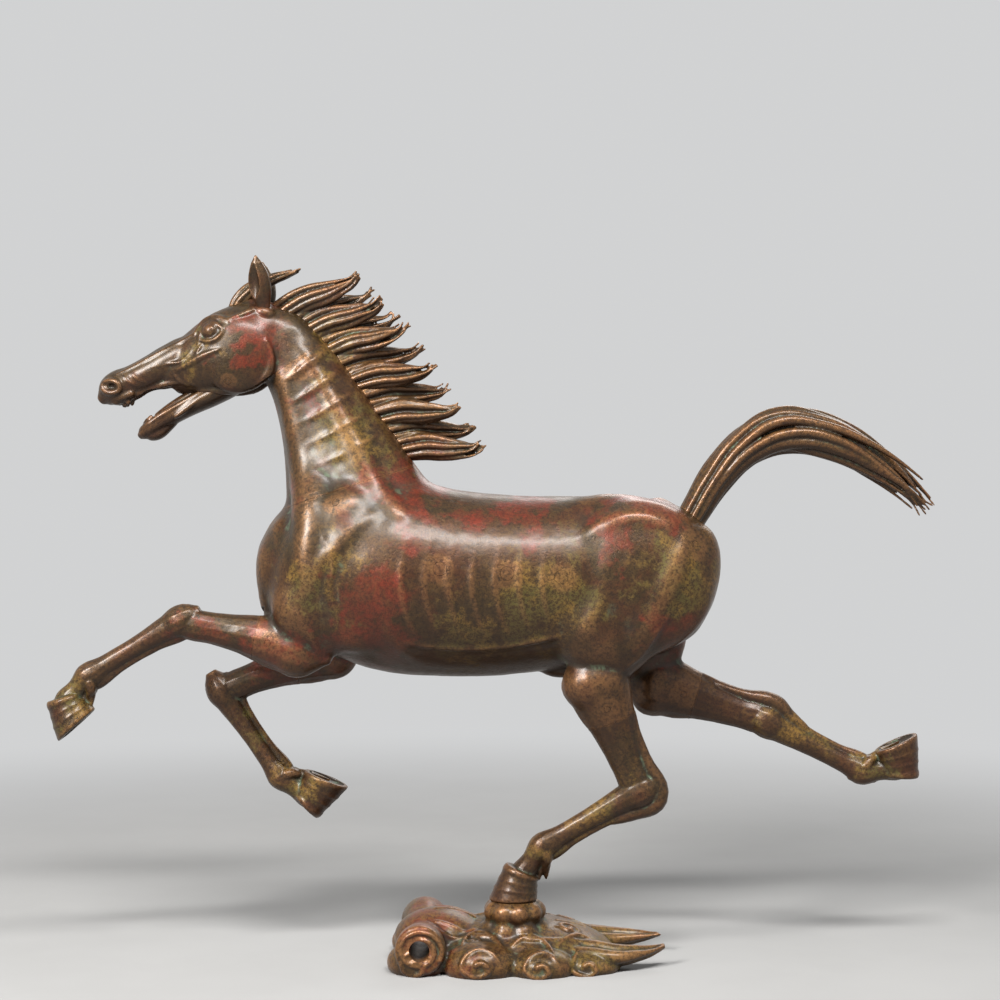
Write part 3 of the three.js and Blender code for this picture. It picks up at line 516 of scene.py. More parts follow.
# Ridges that lie on both sides of the trunk, as rows of x, z and radius
neck_muscles = [
    [(-107, 294, 5), (-101, 270, 9), (-96, 246, 11), (-93, 222, 12), (-92, 200, 9), (-90, 184, 6)],
    [(-114, 284, 3.5), (-110, 262, 5), (-108, 240, 6), (-107, 220, 6.5), (-106, 204, 5)],
    [(-96, 306, 5), (-82, 282, 9), (-70, 258, 11), (-58, 236, 11), (-44, 222, 7)],
    [(-54, 226, 4), (-70, 214, 7), (-84, 198, 7), (-94, 182, 5)],
]
haunch_muscles = [
    [(96, 218, 4), (89, 202, 8), (80, 180, 9), (68, 156, 7)],
    [(44, 214, 4), (56, 220, 7), (72, 222, 7), (86, 218, 5)],
    [(36, 160, 3), (44, 168, 5.4), (51, 182, 6), (54, 200, 4)],
    [(-54, 172, 3), (-47, 160, 4.4), (-36, 152, 3)],
]
veins = [
    [(-44, 161, 0.7), (-20, 158, 1.3), (6, 159, 1.3), (32, 164, 0.7)],
    [(-96, 176, 0.7), (-89, 163, 1.2), (-84, 152, 0.7)],
    [(-84, 214, 0.6), (-78, 200, 1.1), (-80, 186, 1.1), (-74, 172, 0.6)],
    [(86, 178, 0.6), (78, 166, 1.2), (70, 154, 1.2), (60, 146, 0.6)],
]
rib_count = 7
ribs = [
    [(x, 212, 0.8), (x - 3, 196, 2.3), (x - 2, 180, 2.5), (x + 3, 166, 1.7), (x + 8, 158, 0.5)]
    for x in np.linspace(-42, 26, rib_count)
]
# Creases of skin slant down from the crest of the neck, longer and fainter further down
neck_fold_count = 5
neck_folds = []
for fold in range(neck_fold_count):
    x, z = -93 + fold * 5.6, 297 - fold * 10.5
    long, thick = 1 + 0.12 * fold, 1 - 0.13 * fold
    neck_folds.append([
        (x + 13 * long, z + 12, 0.4), (x + 8.5 * long, z + 7, 1.3 * thick),
        (x + 3 * long, z + 1.8, 1.9 * thick), (x - 3 * long, z - 3, 1.8 * thick),
        (x - 8.5 * long, z - 6.6, 1.1 * thick), (x - 12.5 * long, z - 8.4, 0.35),
    ])

broad_ridges = []
for ridge in neck_muscles + haunch_muscles:
    broad_ridges += laid_both(trunk_skin, ridge, 0.72)
trunk_core = fuse("trunk_core", [trunk_core, strokes(broad_ridges)], voxel=1.7, rounds=16)
trunk_skin = skin_of(trunk_core)
trunk_details = []
for ridges, sunk in ((ribs, 0.7), (veins, 0.2), (neck_folds, 0.4)):
    for ridge in ridges:
        trunk_details += laid_both(trunk_skin, ridge, sunk)
breast = ((-106, 10.5, 184), (22, 20, 40), -8)
sheath = ((34, 0, 147.6), (27, 13, 13))
tail_head = [(78, 0, 222, 11), (92, 0, 213, 10), (100, 0, 203, 9), (104, 0, 190, 7)]
backbone = [(-44, 0, 236, 4), (-10, 0, 228.5, 4), (30, 0, 226.5, 4), (60, 0, 229, 4)]


# Head, in its own directions: forwards from the poll, up from the skull's line, and out to a side

poll = Vector((-108.7, 0, 319.3))
head_ahead, head_up = Vector((-0.921, 0, -0.391)), Vector((-0.391, 0, 0.921))
skull_flat, muzzle_flat = 0.77, 1.06
skull_rows = [
    (-7, -1, 0, 6), (0, -1.9, 0, 13.3), (11.4, -3.5, 0, 19), (24.7, -4.7, 0, 21.2), (36, -4.8, 0, 19.8),
    (47.5, -3.8, 0, 16), (56, -2.2, 0, 12.4), (62, -0.4, 0, 9.4), (67, 0.4, 0, 7),
]
muzzle_rows = [
    (46, 3, 0, 8.6), (57, 2, 0, 9.2), (66, 1.2, 0, 8.8), (78, 0.6, 0, 8.2), (86, 0.4, 0, 8.8),
    (91.5, -0.4, 0, 7.4), (94.5, -1.2, 0, 4.6),
]
cheek = {"place": (23.8, -8.5, 10.6), "size": (39, 13, 39)}


def in_head(rows):
    """Rows of ahead, up, out and radius as a path."""
    path = []
    for ahead, up, out, radius in rows:
        place = poll + head_ahead * ahead + head_up * up
        path.append((place.x, out, place.z, radius))
    return path


def head_ball(ahead, up, out, size):
    (x, y, z, _), = in_head([(ahead, up, out, 0)])
    return ball((x, y, z), size)


def head_balls(ahead, up, out, size):
    return [head_ball(ahead, up, side * out, size) for side in sides]


def skull_forms():
    skull = strokes([in_head(skull_rows)], skull_flat, roundness=12)
    return [skull, *head_balls(*cheek["place"], cheek["size"])]


trunk = fuse(
    "trunk",
    [
        trunk_core,
        strokes(trunk_details),
        strokes([tail_head]),
        strokes([backbone]),
        *skull_forms(),
        *balls(*breast),
        ball(*sheath),
        *[form for limb in limbs.values() for form in limb_forms(limb, (1,))],
    ],
    voxel=1.05,
    rounds=7,
    hammered=0.3,
)

# The head's own skin starts with the top of the neck, so that the two match at their joint
neck_top = slice_off(copy_of(trunk, "neck_top"), head_joint - head_joint_way * 9, -head_joint_way)
head_core = fuse(
    "head_core",
    [
        copy_of(neck_top, "head_seed"),
        strokes([in_head(muzzle_rows)], muzzle_flat, roundness=12),
        *skull_forms(),
    ],
    voxel=0.8,
    rounds=7,
)
head_skin = skin_of(head_core)


def head_laid(rows, sunk=0.4):
    """A path on both sides of the head, from rows of ahead, up and radius."""
    rows = [(x, z, r) for x, y, z, r in in_head([(ahead, up, 0, radius) for ahead, up, radius in rows])]
    return laid_both(head_skin, rows, sunk)


eye = {"ahead": 31.4, "up": 6.7, "out": 11.6, "size": 8.8}
head_ridges = [
    # brow, upper lid, lower lid, tear fold
    ([(21, 7.5, 1), (25, 11.2, 2.2), (30, 13.2, 2.6), (35.5, 12, 2.2), (40, 8.6, 1.2)], 0.35),
    ([
        (25.2, 4.6, 0.6), (27.2, 8.6, 1.2), (31, 11, 1.4), (35, 9.6, 1.3), (38.2, 5.2, 0.8), (40, 3, 0.4),
    ], 0.0),
    ([(25.2, 4.6, 0.5), (28, 2.8, 1), (32, 2, 1.1), (35.6, 3.2, 1), (38.2, 5.2, 0.6)], 0.1),
    ([(38, 2.4, 0.5), (42, -0.6, 0.8), (45, -4, 0.4)], 0.2),
    # ridge from the eye to the ear
    ([(23, 9, 0.8), (15, 8.6, 1.8), (8, 9, 1.9), (2, 9.4, 1.2)], 0.35),
    # cheek bone, edge of the jaw, nose bone
    ([(30, -3.5, 0.8), (38, -3, 2), (46, -3.4, 2.2), (55, -4, 1.2)], 0.45),
    ([(8, -8, 1.5), (9, -18, 2.4), (17, -26, 2.8), (28, -28.5, 2.8), (38, -25, 2.4), (49, -17.5, 1.6)], 0.5),
    ([(36, 9.5, 1.2), (48, 8.6, 1.9), (62, 7.6, 1.9), (76, 6.6, 1.6), (84, 6.2, 0.8)], 0.55),
    # upper lip and the folds at the corner of the mouth
    ([(54, -10.5, 0.8), (62, -8, 1.7), (72, -6.8, 1.8), (82, -6.6, 1.9), (90, -6, 1.8)], 0.2),
    ([(52, -13.5, 0.5), (55.5, -9.5, 1.1), (57, -5, 0.5)], 0.25),
    ([(49.5, -14.5, 0.5), (52.4, -10.5, 1), (53.4, -6.5, 0.4)], 0.25),
    # veins
    ([(44, 2, 0.3), (50, -1, 0.8), (57, 0.5, 0.7), (66, 2.4, 0.3)], 0.1),
    ([(50, -1, 0.3), (53, -6, 0.7), (51, -12, 0.3)], 0.1),
    # muzzle wrinkles
    ([(76, -3, 0.4), (79, 0, 0.9), (80, 3.4, 0.4)], 0.2),
    ([(72, -3, 0.3), (75, 0.4, 0.8), (76, 3.8, 0.3)], 0.25),
]
head_details = []
for ridge, sunk in head_ridges:
    head_details += head_laid(ridge, sunk)
nostril = {
    "ahead": 88.2, "up": 1.4, "long": 4.6, "high": 3.1, "tilt": 28, "rim": 1.5,
    "hollow_out": 11.6, "hollow_size": (6.4, 9, 4.4), "hollow_lean": 5,
}


def nostril_ring(side):
    """A closed path round a nostril."""
    rows = []
    tilt = math.radians(nostril["tilt"])
    for number in range(9):
        angle = math.tau * number / 9
        along, across = math.cos(angle) * nostril["long"], math.sin(angle) * nostril["high"]
        ahead = nostril["ahead"] + along * math.cos(tilt) - across * math.sin(tilt)
        up = nostril["up"] + along * math.sin(tilt) + across * math.cos(tilt)
        (x, _, z, _), = in_head([(ahead, up, 0, 0)])
        rows.append((x, z, nostril["rim"]))
    return laid_on_side(head_skin, rows, side, 0.2)


tooth_places = [(90.6 - 0.5 * step * step, step * 2.1) for step in (-2.5, -1.5, -0.5, 0.5, 1.5, 2.5)]
upper_tooth = {"back": 4.2, "up": -7.6, "size": (2.8, 2.3, 5)}
upper_teeth = [
    head_ball(ahead - upper_tooth["back"], upper_tooth["up"], out, upper_tooth["size"])
    for ahead, out in tooth_places
]
upper_lip_rows = [
    (80, -5.4, -6.6, 1.8), (87, -4.9, -5.6, 2.2), (91.4, -4, -2.6, 2.3), (92.2, -3.9, 0, 2.3),
    (91.4, -4, 2.6, 2.3), (87, -4.9, 5.6, 2.2), (80, -5.4, 6.6, 1.8),
]
crest_rows = [(4, 9.5, 0, 5), (14, 12, 0, 5), (26, 11, 0, 4)]
ear_foot = Vector((-115.1, 8.5, 326.9))
head_form = fuse(
    "head_form",
    [
        head_core,
        strokes(head_details),
        *[strokes([nostril_ring(side)], closed=True) for side in sides],
        *head_balls(eye["ahead"], eye["up"], eye["out"], (eye["size"],) * 3),
        strokes([in_head(upper_lip_rows)]),
        *balls((ear_foot.x + 0.6, ear_foot.y - 1.6, ear_foot.z - 4.4), (12.6, 9.4, 8.6), 20),
        strokes([in_head(crest_rows)]),
    ],
    voxel=0.5,
    rounds=3,
    hammered=0.15,
)
for side in sides:
    (x, _, z, _), = in_head([(nostril["ahead"], nostril["up"], 0, 0)])
    hollow = ball((x, side * nostril["hollow_out"], z), nostril["hollow_size"], nostril["hollow_lean"])
    cut_with(head_form, hollow)
palate_rows = [(60, -10.5, 0, 3), (67, -9.6, 0, 4.2), (78, -9, 0, 4.2), (86.5, -8.6, 0, 3.2)]
cut_with(head_form, strokes([in_head(palate_rows)], 1.2, roundness=10))
head_form = fuse("head_form", [head_form, *upper_teeth], voxel=0.46, rounds=2)

# Lower jaw: its rows run from under the cheek to the lip
jaw_path = [
    (-128, 0, 289.4, 5.4), (-140.9, 0, 282.6, 5.6), (-151.6, 0, 277.4, 5), (-163.3, 0, 271, 4.5),
    (-172, 0, 265.8, 4.4), (-176.4, 0, 262.6, 2.8),
]
jaw_ahead, jaw_up = Vector((-0.84, 0, -0.54)), Vector((-0.54, 0, 0.84))
jaw_lip = Vector((-173.5, 0, 264.6))


def in_jaw(rows):
    """Rows of ahead, up, out and radius from the lower lip, as a path."""
    path = []
    for ahead, up, out, radius in rows:
        place = jaw_lip + jaw_ahead * ahead + jaw_up * up
        path.append((place.x, out, place.z, radius))
    return path


chin_rows = [(-16, -2.4, 0, 2), (-9, -3.6, 0, 2.8), (-3.5, -3.8, 0, 3.2), (0.5, -2.4, 0, 2.8)]
gum_rows = [
    (-34, 1, -6, 1.1), (-20, 1.7, -5.8, 1.4), (-8, 2, -5.6, 1.7), (-1, 1.6, -4.2, 2), (2, 1.4, 0, 2.1),
    (-1, 1.6, 4.2, 2), (-8, 2, 5.6, 1.7), (-20, 1.7, 5.8, 1.4), (-34, 1, 6, 1.1),
]
jaw_edges = [[(-44, -1.5, out, 1.6), (-30, -1.6, out, 1.7), (-16, -2.4, out, 1)] for out in (-6.6, 6.6)]
mouth_rows = [(-50, 6.4, 0, 4.4), (-30, 5.2, 0, 4.2), (-12, 5, 0, 3.8), (-4.4, 4.4, 0, 2.6)]
tongue_rows = [(-46, 2.2, 0, 2.4), (-30, 2.9, 0, 3), (-16, 3.2, 0, 2.9), (-7.5, 3.4, 0, 1.8)]
jaw_form = fuse(
    "jaw_form",
    [
        strokes([jaw_path], 1.55, roundness=10),
        strokes([in_jaw(chin_rows)], 1.45, roundness=8),
        strokes([in_jaw(gum_rows)]),
        *[strokes([in_jaw(rows)]) for rows in jaw_edges],
    ],
    voxel=0.48,
    rounds=3,
    hammered=0.12,
)
cut_with(jaw_form, strokes([in_jaw(mouth_rows)], 1.05, roundness=10))
lower_tooth = {"back": 92, "up": 3.8, "size": (2.6, 2.3, 4.6), "lean": 33}
lower_teeth = []
for ahead, out in tooth_places:
    (x, y, z, _), = in_jaw([(ahead - lower_tooth["back"], lower_tooth["up"], out, 0)])
    lower_teeth.append(ball((x, y, z), lower_tooth["size"], lower_tooth["lean"]))
tongue = strokes([in_jaw(tongue_rows)], 1.3, roundness=8)
jaw_form = fuse("jaw_form", [jaw_form, tongue, *lower_teeth], voxel=0.42, rounds=1)

# Ears: leaf shapes that are hollow towards the front and the outside,
# as rows of x, distance from the middle, z and radius
ear_rows = [
    (-114.6, 8.3, 324.6, 3), (-115.2, 9.2, 329, 4.3), (-116.1, 10.8, 335, 5.5), (-117, 12.3, 342, 4.8),
    (-117.7, 13.6, 347.4, 2.6), (-118, 14.3, 350.6, 0.5),
]
ear_hollow_rows = [
    (-118.6, 12.6, 329.5, 0.8), (-119.2, 14, 334.5, 3.2), (-120, 15.6, 341, 3.1), (-119.6, 16.2, 346.2, 1.7),
    (-119, 16.4, 350, 0.4),
]
ears = {}
for name, side in (("ear_left", left), ("ear_right", right)):
    leaf, hollow = [
        strokes([[(x, side * y, z, r) for x, y, z, r in rows]], flat, side * middle, roundness=roundness)
        for rows, flat, middle, roundness in ((ear_rows, 0.66, 11.5, 10), (ear_hollow_rows, 0.9, 14, 8))
    ]
    ears[name] = fuse(name + "_form", [cut_with(leaf, hollow)], voxel=0.36, rounds=3)


# Hair

dice = random.Random(11)


def part_way(rows, share):
    """Numbers part of the way through rows."""
    spot = min(max(share, 0), 1) * (len(rows) - 1)
    first = min(int(spot), len(rows) - 2)
    return [a + (b - a) * (spot - first) for a, b in zip(rows[first], rows[first + 1])]


def strands(rows, count, ends, fill, twist, flick, knots=7):
    """Tapering strands round a lock's middle line, whose rows hold x, y, z, half height and half width.
    They fill, twist round and stray from the lock, and end between two shares of its length."""
    paths = []
    for number in range(count + 1):
        turned = math.tau * number / count + dice.uniform(-0.25, 0.25)
        in_middle = number == count
        reach = dice.uniform(*ends)
        stray = dice.uniform(-1, 1)
        path = []
        for knot in range(knots):
            p = knot / (knots - 1)
            share = p * reach
            x, y, z, high, wide = part_way(rows, share)
            before, after = (Vector(part_way(rows, share + step)[:3]) for step in (-0.06, 0.06))
            ahead = (after - before).normalized()
            up = Vector((-ahead.z, 0, ahead.x)).normalized()
            radius = fill * math.sqrt(high * wide) * (1 - 0.75 * p ** 4)
            if in_middle:
                radius *= 1.25
            away = 0 if in_middle else 1
            angle = turned + twist * share
            across = away * math.sin(angle) * max(wide - radius * 0.8, 0)
            raised = away * math.cos(angle) * max(high - radius * 0.8, 0) + stray * flick * p ** 3
            place = Vector((x, y + across + dice.uniform(-0.15, 0.15), z)) + up * raised
            path.append((*place, max(radius, 0.55)))
        paths.append(path)
    return paths


lock_starts = {
    # number of the lock: its middle line
    0: [(-50.8, 254.9), (-36.8, 257.2), (-21.2, 254.9), (-10.2, 254.9), (-4.1, 258.2)],
    3: [(-68.5, 279.8), (-54.8, 283.5), (-39.1, 282.8), (-28.1, 283.8), (-22.4, 287.7)],
    6: [(-87.1, 303.9), (-74, 309.3), (-58.3, 310.6), (-47.6, 313.1), (-42.4, 317.8)],
    10: [(-109.6, 322.2), (-97.5, 329.6), (-82.2, 333.4), (-72, 337.5), (-67.7, 342.9)],
}
lock_sway = (0, 1.2, 4, 6.4, 8)
lock_shares = (0.8, 1, 0.8, 0.42, 0.06)
lock_height, lock_width = 7, 4.6


def lock_rows(number):
    """The middle line and half sizes of a lock of the mane."""
    below = max(k for k in lock_starts if k <= number)
    above = min(k for k in lock_starts if k >= number)
    share = (number - below) / (above - below) if above > below else 0
    way = right if number % 2 else left
    rows = []
    for (x1, z1), (x2, z2), sway, size in zip(lock_starts[below], lock_starts[above], lock_sway, lock_shares):
        x, z = x1 + (x2 - x1) * share, z1 + (z2 - z1) * share
        rows.append((x, way * sway, z, lock_height * size, lock_width * size))
    return rows


hair = {}
mane_locks = {"mane_lower": (0, 1, 2, 3), "mane_middle": (4, 5, 6), "mane_upper": (7, 8, 9, 10)}
last_lock = max(lock_starts)
for name, numbers in mane_locks.items():
    paths = []
    for number in numbers:
        paths += strands(lock_rows(number), 8, (0.84, 1.0), fill=0.36, twist=0.9, flick=2.2)
    # The locks grow from a ridge of skin along the crest
    roots = []
    for share in np.linspace(numbers[0] - 0.38, numbers[-1] + 0.38, 6):
        low = min(max(share, 0), last_lock)
        x, _, z, *_ = part_way([lock_rows(number)[0] for number in range(last_lock + 1)], low / last_lock)
        roots.append((x + (share - low) * -5.9, 0, z + (share - low) * 8.2, 4.4))
    parts = [strokes(paths), strokes([roots], 0.8)]
    hair[name] = without_crumbs(fuse(name + "_form", parts, voxel=0.48, rounds=2))

forelock_rows = [
    (-130.4, 0, 321.4, 3, 3), (-128.6, 0, 329, 4.2, 4), (-120.7, 0, 335.4, 4.2, 4),
    (-110.6, 0, 340.9, 3.2, 3.4), (-101.5, 0, 343.7, 1.8, 2), (-96.4, 0, 346.4, 0.4, 0.4),
]
forelock_paths = strands(forelock_rows, 7, (0.8, 1.0), fill=0.42, twist=1.1, flick=1.4)
hair["forelock"] = without_crumbs(fuse("forelock_form", [strokes(forelock_paths)], voxel=0.42, rounds=2))

tail_rows = [
    (85.5, 0, 199.5, 6.6, 6.6), (102.3, 0, 228.3, 7.4, 7.2), (119.1, 0, 253.3, 9.2, 9.4),
    (143.1, 0, 265.8, 11.4, 12), (169.5, 0, 260.2, 10.8, 12.4), (193, 0, 246.1, 8, 9.6),
    (209.4, 0, 232.9, 4.2, 5.6), (217.2, 0, 223.6, 0.9, 1.2),
]
inner_tail_rows = [(*row[:3], row[3] * 0.7, row[4] * 0.7) for row in tail_rows]
tail_paths = strands(tail_rows, 15, (0.8, 1.0), fill=0.24, twist=1.2, flick=5, knots=9)
tail_paths += strands(inner_tail_rows, 9, (0.88, 1.0), fill=0.34, twist=0.8, flick=3, knots=9)
tail_core = [(*row[:3], row[3] * 0.66) for row in tail_rows[:6]]
tail_parts = [strokes(tail_paths), strokes([tail_core])]
hair["tail"] = without_crumbs(fuse("tail_form", tail_parts, voxel=0.52, rounds=2))


# Cloud base

rod_place, rod_hole_radius = (13.2, -10.5), 2.8
pad_top = 32
# The boss round the rod hangs down into the hollow of the base
base_wall, boss_foot, boss_radius = 4, 9.3, 9
# Bars for cuts reach past the base
past_top, past_bottom, past_side = 45, -5, 60
mound = {"place": (9.7, 0, 0), "size": (105, 70.6, 46)}
lobes = [
    ((-27.5, 0, 11.5), (46, 42, 30)),
    ((-37.4, -22.7, 4.6), (31, 29, 20)), ((-37.4, 22.7, 4.6), (31, 29, 20)),
    ((-7, -29.6, 4.6), (37, 26, 22)), ((-7, 29.6, 4.6), (37, 26, 22)),
    ((22.5, -29.6, 3.5), (33, 24, 18)), ((22.5, 29.6, 3.5), (33, 24, 18)),
    ((45.5, -20.2, 2.8), (33, 28.6, 16)), ((45.5, 20.2, 2.8), (33, 28.6, 16)),
]
volute = {"x": -36.4, "z": 12.7, "bore": 5, "radius": 12.2, "half_width": 38}
column_rows = [
    (9.7, -3.2, 1, 21), (9.7, -4.8, 8, 17), (9.7, -7.2, 15.5, 12.6), (9.7, -9.4, 22, 10.8),
    (9.7, -10.5, 34, 11),
]
# Rings of cloud puffs round the column: how many, their height, their distance out, their size
puff_rings = [(9, 26.8, 9.6, 12.4), (8, 17.4, 11.6, 13.4), (9, 8.6, 17.2, 15)]
puffs = []
for ring, (count, z, out, size) in enumerate(puff_rings):
    across, middle, _, _ = min(column_rows, key=lambda row: abs(row[2] - z))
    for number in range(count):
        angle = math.tau * (number + 0.5 * (ring % 2)) / count
        place = (across + out * math.cos(angle), middle + out * math.sin(angle), z)
        puffs.append((place, (size, size, size * 0.92)))


def volute_path(side):
    """The roll of cloud at the front: wide at its ends and slim in the middle."""
    half, radius = volute["half_width"], volute["radius"]
    rows = [(-0.1, 0.76), (0.3, 0.76), (0.62, 0.9), (0.8, 1), (0.95, 1), (0.99, 0.97)]
    x, z = volute["x"], volute["z"]
    return [(x + 2 * (1 - out), side * out * half, z, size * radius) for out, size in rows]


wisp_rows = [
    (20, 9.5, 6.6, 4.6, 8), (41, 16.8, 8.2, 6, 10.6), (59.7, 20.4, 7, 4.8, 8.8),
    (74.6, 18.6, 8, 3, 5.4), (84, 13.4, 10.2, 0.7, 1.2),
]
base_core = fuse(
    "base_core",
    [
        ball(mound["place"], mound["size"]),
        *[ball(place, size) for place, size in lobes],
        *[strokes([volute_path(side)], round_ends=False, roundness=14) for side in sides],
        *[ball(place, size) for place, size in puffs],
        strokes([column_rows], 0.92, -10.5, round_ends=False, roundness=10),
    ],
    voxel=1.0,
    rounds=6,
)
base_skin = skin_of(base_core)


def spiral(x, z, size, turns, way, start=0.0, inner=0.2):
    """A scroll line, from its eye outwards, as rows of x, z and radius."""
    rows = []
    count = int(turns * 10)
    for number in range(count + 1):
        share = number / count
        angle = start + way * turns * math.tau * share
        reach = size * (inner + (1 - inner) * share)
        thickness = 1.5 * (1 - 0.65 * share ** 3)
        rows.append((x + reach * math.cos(angle), z + reach * 0.9 * math.sin(angle), thickness))
    return rows


def laid_on_top(rows, sunk):
    """A path on the top of the base, from rows of x, y and radius."""
    return laid(base_skin, [(x, y, 0, r) for x, y, r in rows], (0, 0, -1), sunk)


scrolls = []
for side in sides:
    for (x, y, z), (length, width, height) in lobes[1:]:
        if y * side > 0:
            rows = spiral(x - 1, z + 0.5, length * 0.3, turns=1.35, way=-1, start=2.2)
            scrolls.append(laid_on_side(base_skin, [row for row in rows if row[1] > 1], side, 0.2))
    for number, x in enumerate((-6, 18, 40)):
        rows = [
            (x - 10, 14 - number, 0.5), (x - 4, 17.5 - number, 1.5), (x + 4, 16.6 - number, 1.5),
            (x + 11, 11 - number, 0.5),
        ]
        scrolls.append(laid_on_side(base_skin, rows, side, 0.2))
    # The roll's own scroll line winds out from its eye
    rows = spiral(volute["x"], volute["z"], 11.3, turns=1.3, way=-1, start=1.4, inner=0.56)
    scrolls.append(laid_on_side(base_skin, [(x, z, 1.3) for x, z, r in rows], side, 0.1))
# Long lines flow over the top from the roll to the wisps, and part round the column
column_x, column_y, column_clear = 9.7, -7, 19
for line_y, bend in ((-24, -3), (-15, 2), (-4, -3), (8, 3), (17, -2), (25, 3)):
    before, after = [], []
    for number, x in enumerate(range(-30, 50, 5)):
        y = line_y * (1 - 0.004 * abs(x)) + bend * math.sin(x / 11)
        if (x - column_x) ** 2 + (y - column_y) ** 2 > column_clear ** 2:
            (before if x < column_x else after).append((x, y, 1.5 if 3 < number < 12 else 0.9))
    scrolls += [laid_on_top(rows, 0.25) for rows in (before, after) if len(rows) > 2]
for x, y, size in ((-14, 21, 6), (35, 9, 6), (36, -11, 6), (-12, -24, 5)):
    rows = spiral(x, y, size, turns=1.3, way=1 if y > 0 else -1, start=0.6)
    scrolls.append(laid_on_top(rows, 0.15))
wisp_paths = []
for side in sides:
    rows = [(x, side * y, z, high, wide) for x, y, z, high, wide in wisp_rows]
    wisp_paths += strands(rows, 4, (0.97, 1.0), fill=0.54, twist=0.5, flick=0.3)
base_parts = [base_core, strokes(scrolls), strokes(wisp_paths)]
base_form = without_crumbs(fuse("base_form", base_parts, voxel=0.58, rounds=3, hammered=0.25))
for tool in (
    bar((volute["x"], -past_side, volute["z"]), (volute["x"], past_side, volute["z"]), volute["bore"]),
    bar((*rod_place, past_bottom), (*rod_place, past_top), rod_hole_radius),
):
    cut_with(base_form, tool)
slice_off(base_form, (0, 0, pad_top), (0, 0, 1))
slice_off(base_form, (0, 0, 0), (0, 0, -1))
hollow = ball(mound["place"], [v - 2 * base_wall for v in mound["size"]])
cut_with(hollow, bar((*rod_place, boss_foot), (*rod_place, past_top), boss_radius))
cut_with(base_form, hollow)


# The castings: the skins are cut where the real ones meet, with a hairline between them

def room_for(item, neighbour, gap=0.12):
    """Cuts a neighbour's shape, grown by a hairline, out of an object."""
    tool = copy_of(neighbour, "tool")
    grow = tool.modifiers.new("Grow", "DISPLACE")
    grow.strength = gap * mm
    grow.mid_level = 0
    return cut_with(item, apply_all(tool))


def finish_piece(item, node):
    """Names a piece for the node that it replaces, and smooths its shading."""
    item = without_crumbs(item)
    select(item)
    bpy.ops.object.shade_smooth_by_angle(angle=math.radians(50))
    item.name = item.data.name = node + "_bronze"
    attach(item, "root")
    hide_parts(node)
    return item


pins = {
    # node: start, end
    "foreleg_left_pin": ((-110.5, -36, 160.5), (-110.5, -6, 160.5)),
    "foreleg_right_pin": ((-96.5, 36, 148.5), (-96.5, 6, 148.5)),
    "hind_leg_left_pin": ((54.5, -38, 128.5), (54.5, -4, 128.5)),
    "hind_leg_right_pin": ((95.5, 38, 131.5), (95.5, 4, 131.5)),
    "tail_pin": ((96.9, -34, 208.7), (96.9, 34, 208.7)),
    "neck_pin_1": ((-73, 14.1, 230.3), (-78.8, 38.8, 228.4)),
    "neck_pin_2": ((-91, 0, 224.3), (-114, 0, 216.7)),
    "neck_pin_3": ((-73, -14.1, 230.3), (-78.8, -38.8, 228.4)),
    "head_pin": ((-96.8, -24, 294.7), (-96.8, 24, 294.7)),
    "jaw_pin": ((-131.5, -24, 288.6), (-131.5, 24, 288.6)),
}
pin_radius, plug_radius, hairline, spigot_gap = 1.5, 3.2, 0.14, 0.3
plug_depth, plug_reach = 31, 60
plug_places = [(32, 192.9), (5.9, 194.7), (-26.3, 197)]
plugs = {}
for number, (x, z) in enumerate(plug_places, 1):
    for name, side in (("left", left), ("right", right)):
        plugs[f"core_plug_{name}_{number}"] = ((x, side * plug_depth, z), (x, side * plug_reach, z))

# The top of a leg is cut out of the trunk, from inside its joint to outside it. Round bars then
# take away what the leg has past its joint, and what the torso has of the leg.
top_inside, top_outside, top_radius = 16, 14, 21
leg_cut_length, leg_cut_radius = 60, 24
torso_cut_length, torso_cut_radius = 75, 16.5
cut_vertices = 64
limb_pieces = {}
for name, limb in limbs.items():
    place, way = Vector(limb["joint_place"]), Vector(limb["joint_way"])
    reach = bar(place - way * top_inside, place + way * top_outside, top_radius)
    top = cut_with(copy_of(trunk, name + "_top"), reach, "INTERSECT")
    parts = [top, *limb_forms(limb, (1, 2, 3)), hoof_form(limb), fetlock_tuft(limb)]
    if limb["bones"] is hind_bones:
        parts.append(hock_point(limb))
    leg = fuse(name + "_form", parts, voxel=0.56, rounds=3, hammered=0.3)
    if name != "hind_leg_left":
        cut_with(leg, hoof_hollow(limb))
    seam = place + way * (hairline / 2)
    cut_with(leg, bar(seam, place - way * leg_cut_length, leg_cut_radius, cut_vertices))
    limb_pieces[name] = leg

torso = copy_of(trunk, "torso")
for limb in limbs.values():
    place, way = Vector(limb["joint_place"]), Vector(limb["joint_way"])
    seam = place - way * (hairline / 2)
    cut_with(torso, bar(seam, place + way * torso_cut_length, torso_cut_radius, cut_vertices))
slice_off(torso, torso_joint - torso_joint_way * (hairline / 2), torso_joint_way)
neck = copy_of(trunk, "neck")
slice_off(neck, torso_joint + torso_joint_way * (hairline / 2), -torso_joint_way)
slice_off(neck, head_joint - head_joint_way * (hairline / 2), head_joint_way)
skull = slice_off(head_form, head_joint + head_joint_way * (hairline / 2), -head_joint_way)
# A low spigot in each of these joints, so that no light passes through the seam
for lower, upper, place, way, size in (
    (neck, skull, head_joint, head_joint_way, (33, 22, 4)),
    (torso, neck, torso_joint, torso_joint_way, (58, 40, 4)),
):
    lean = math.degrees(math.atan2(way.x, way.z))
    spigot = ball(place, size, lean)
    cut_with(upper, ball(place, [v + spigot_gap for v in size], lean))
    cut_with(lower, spigot, "UNION")

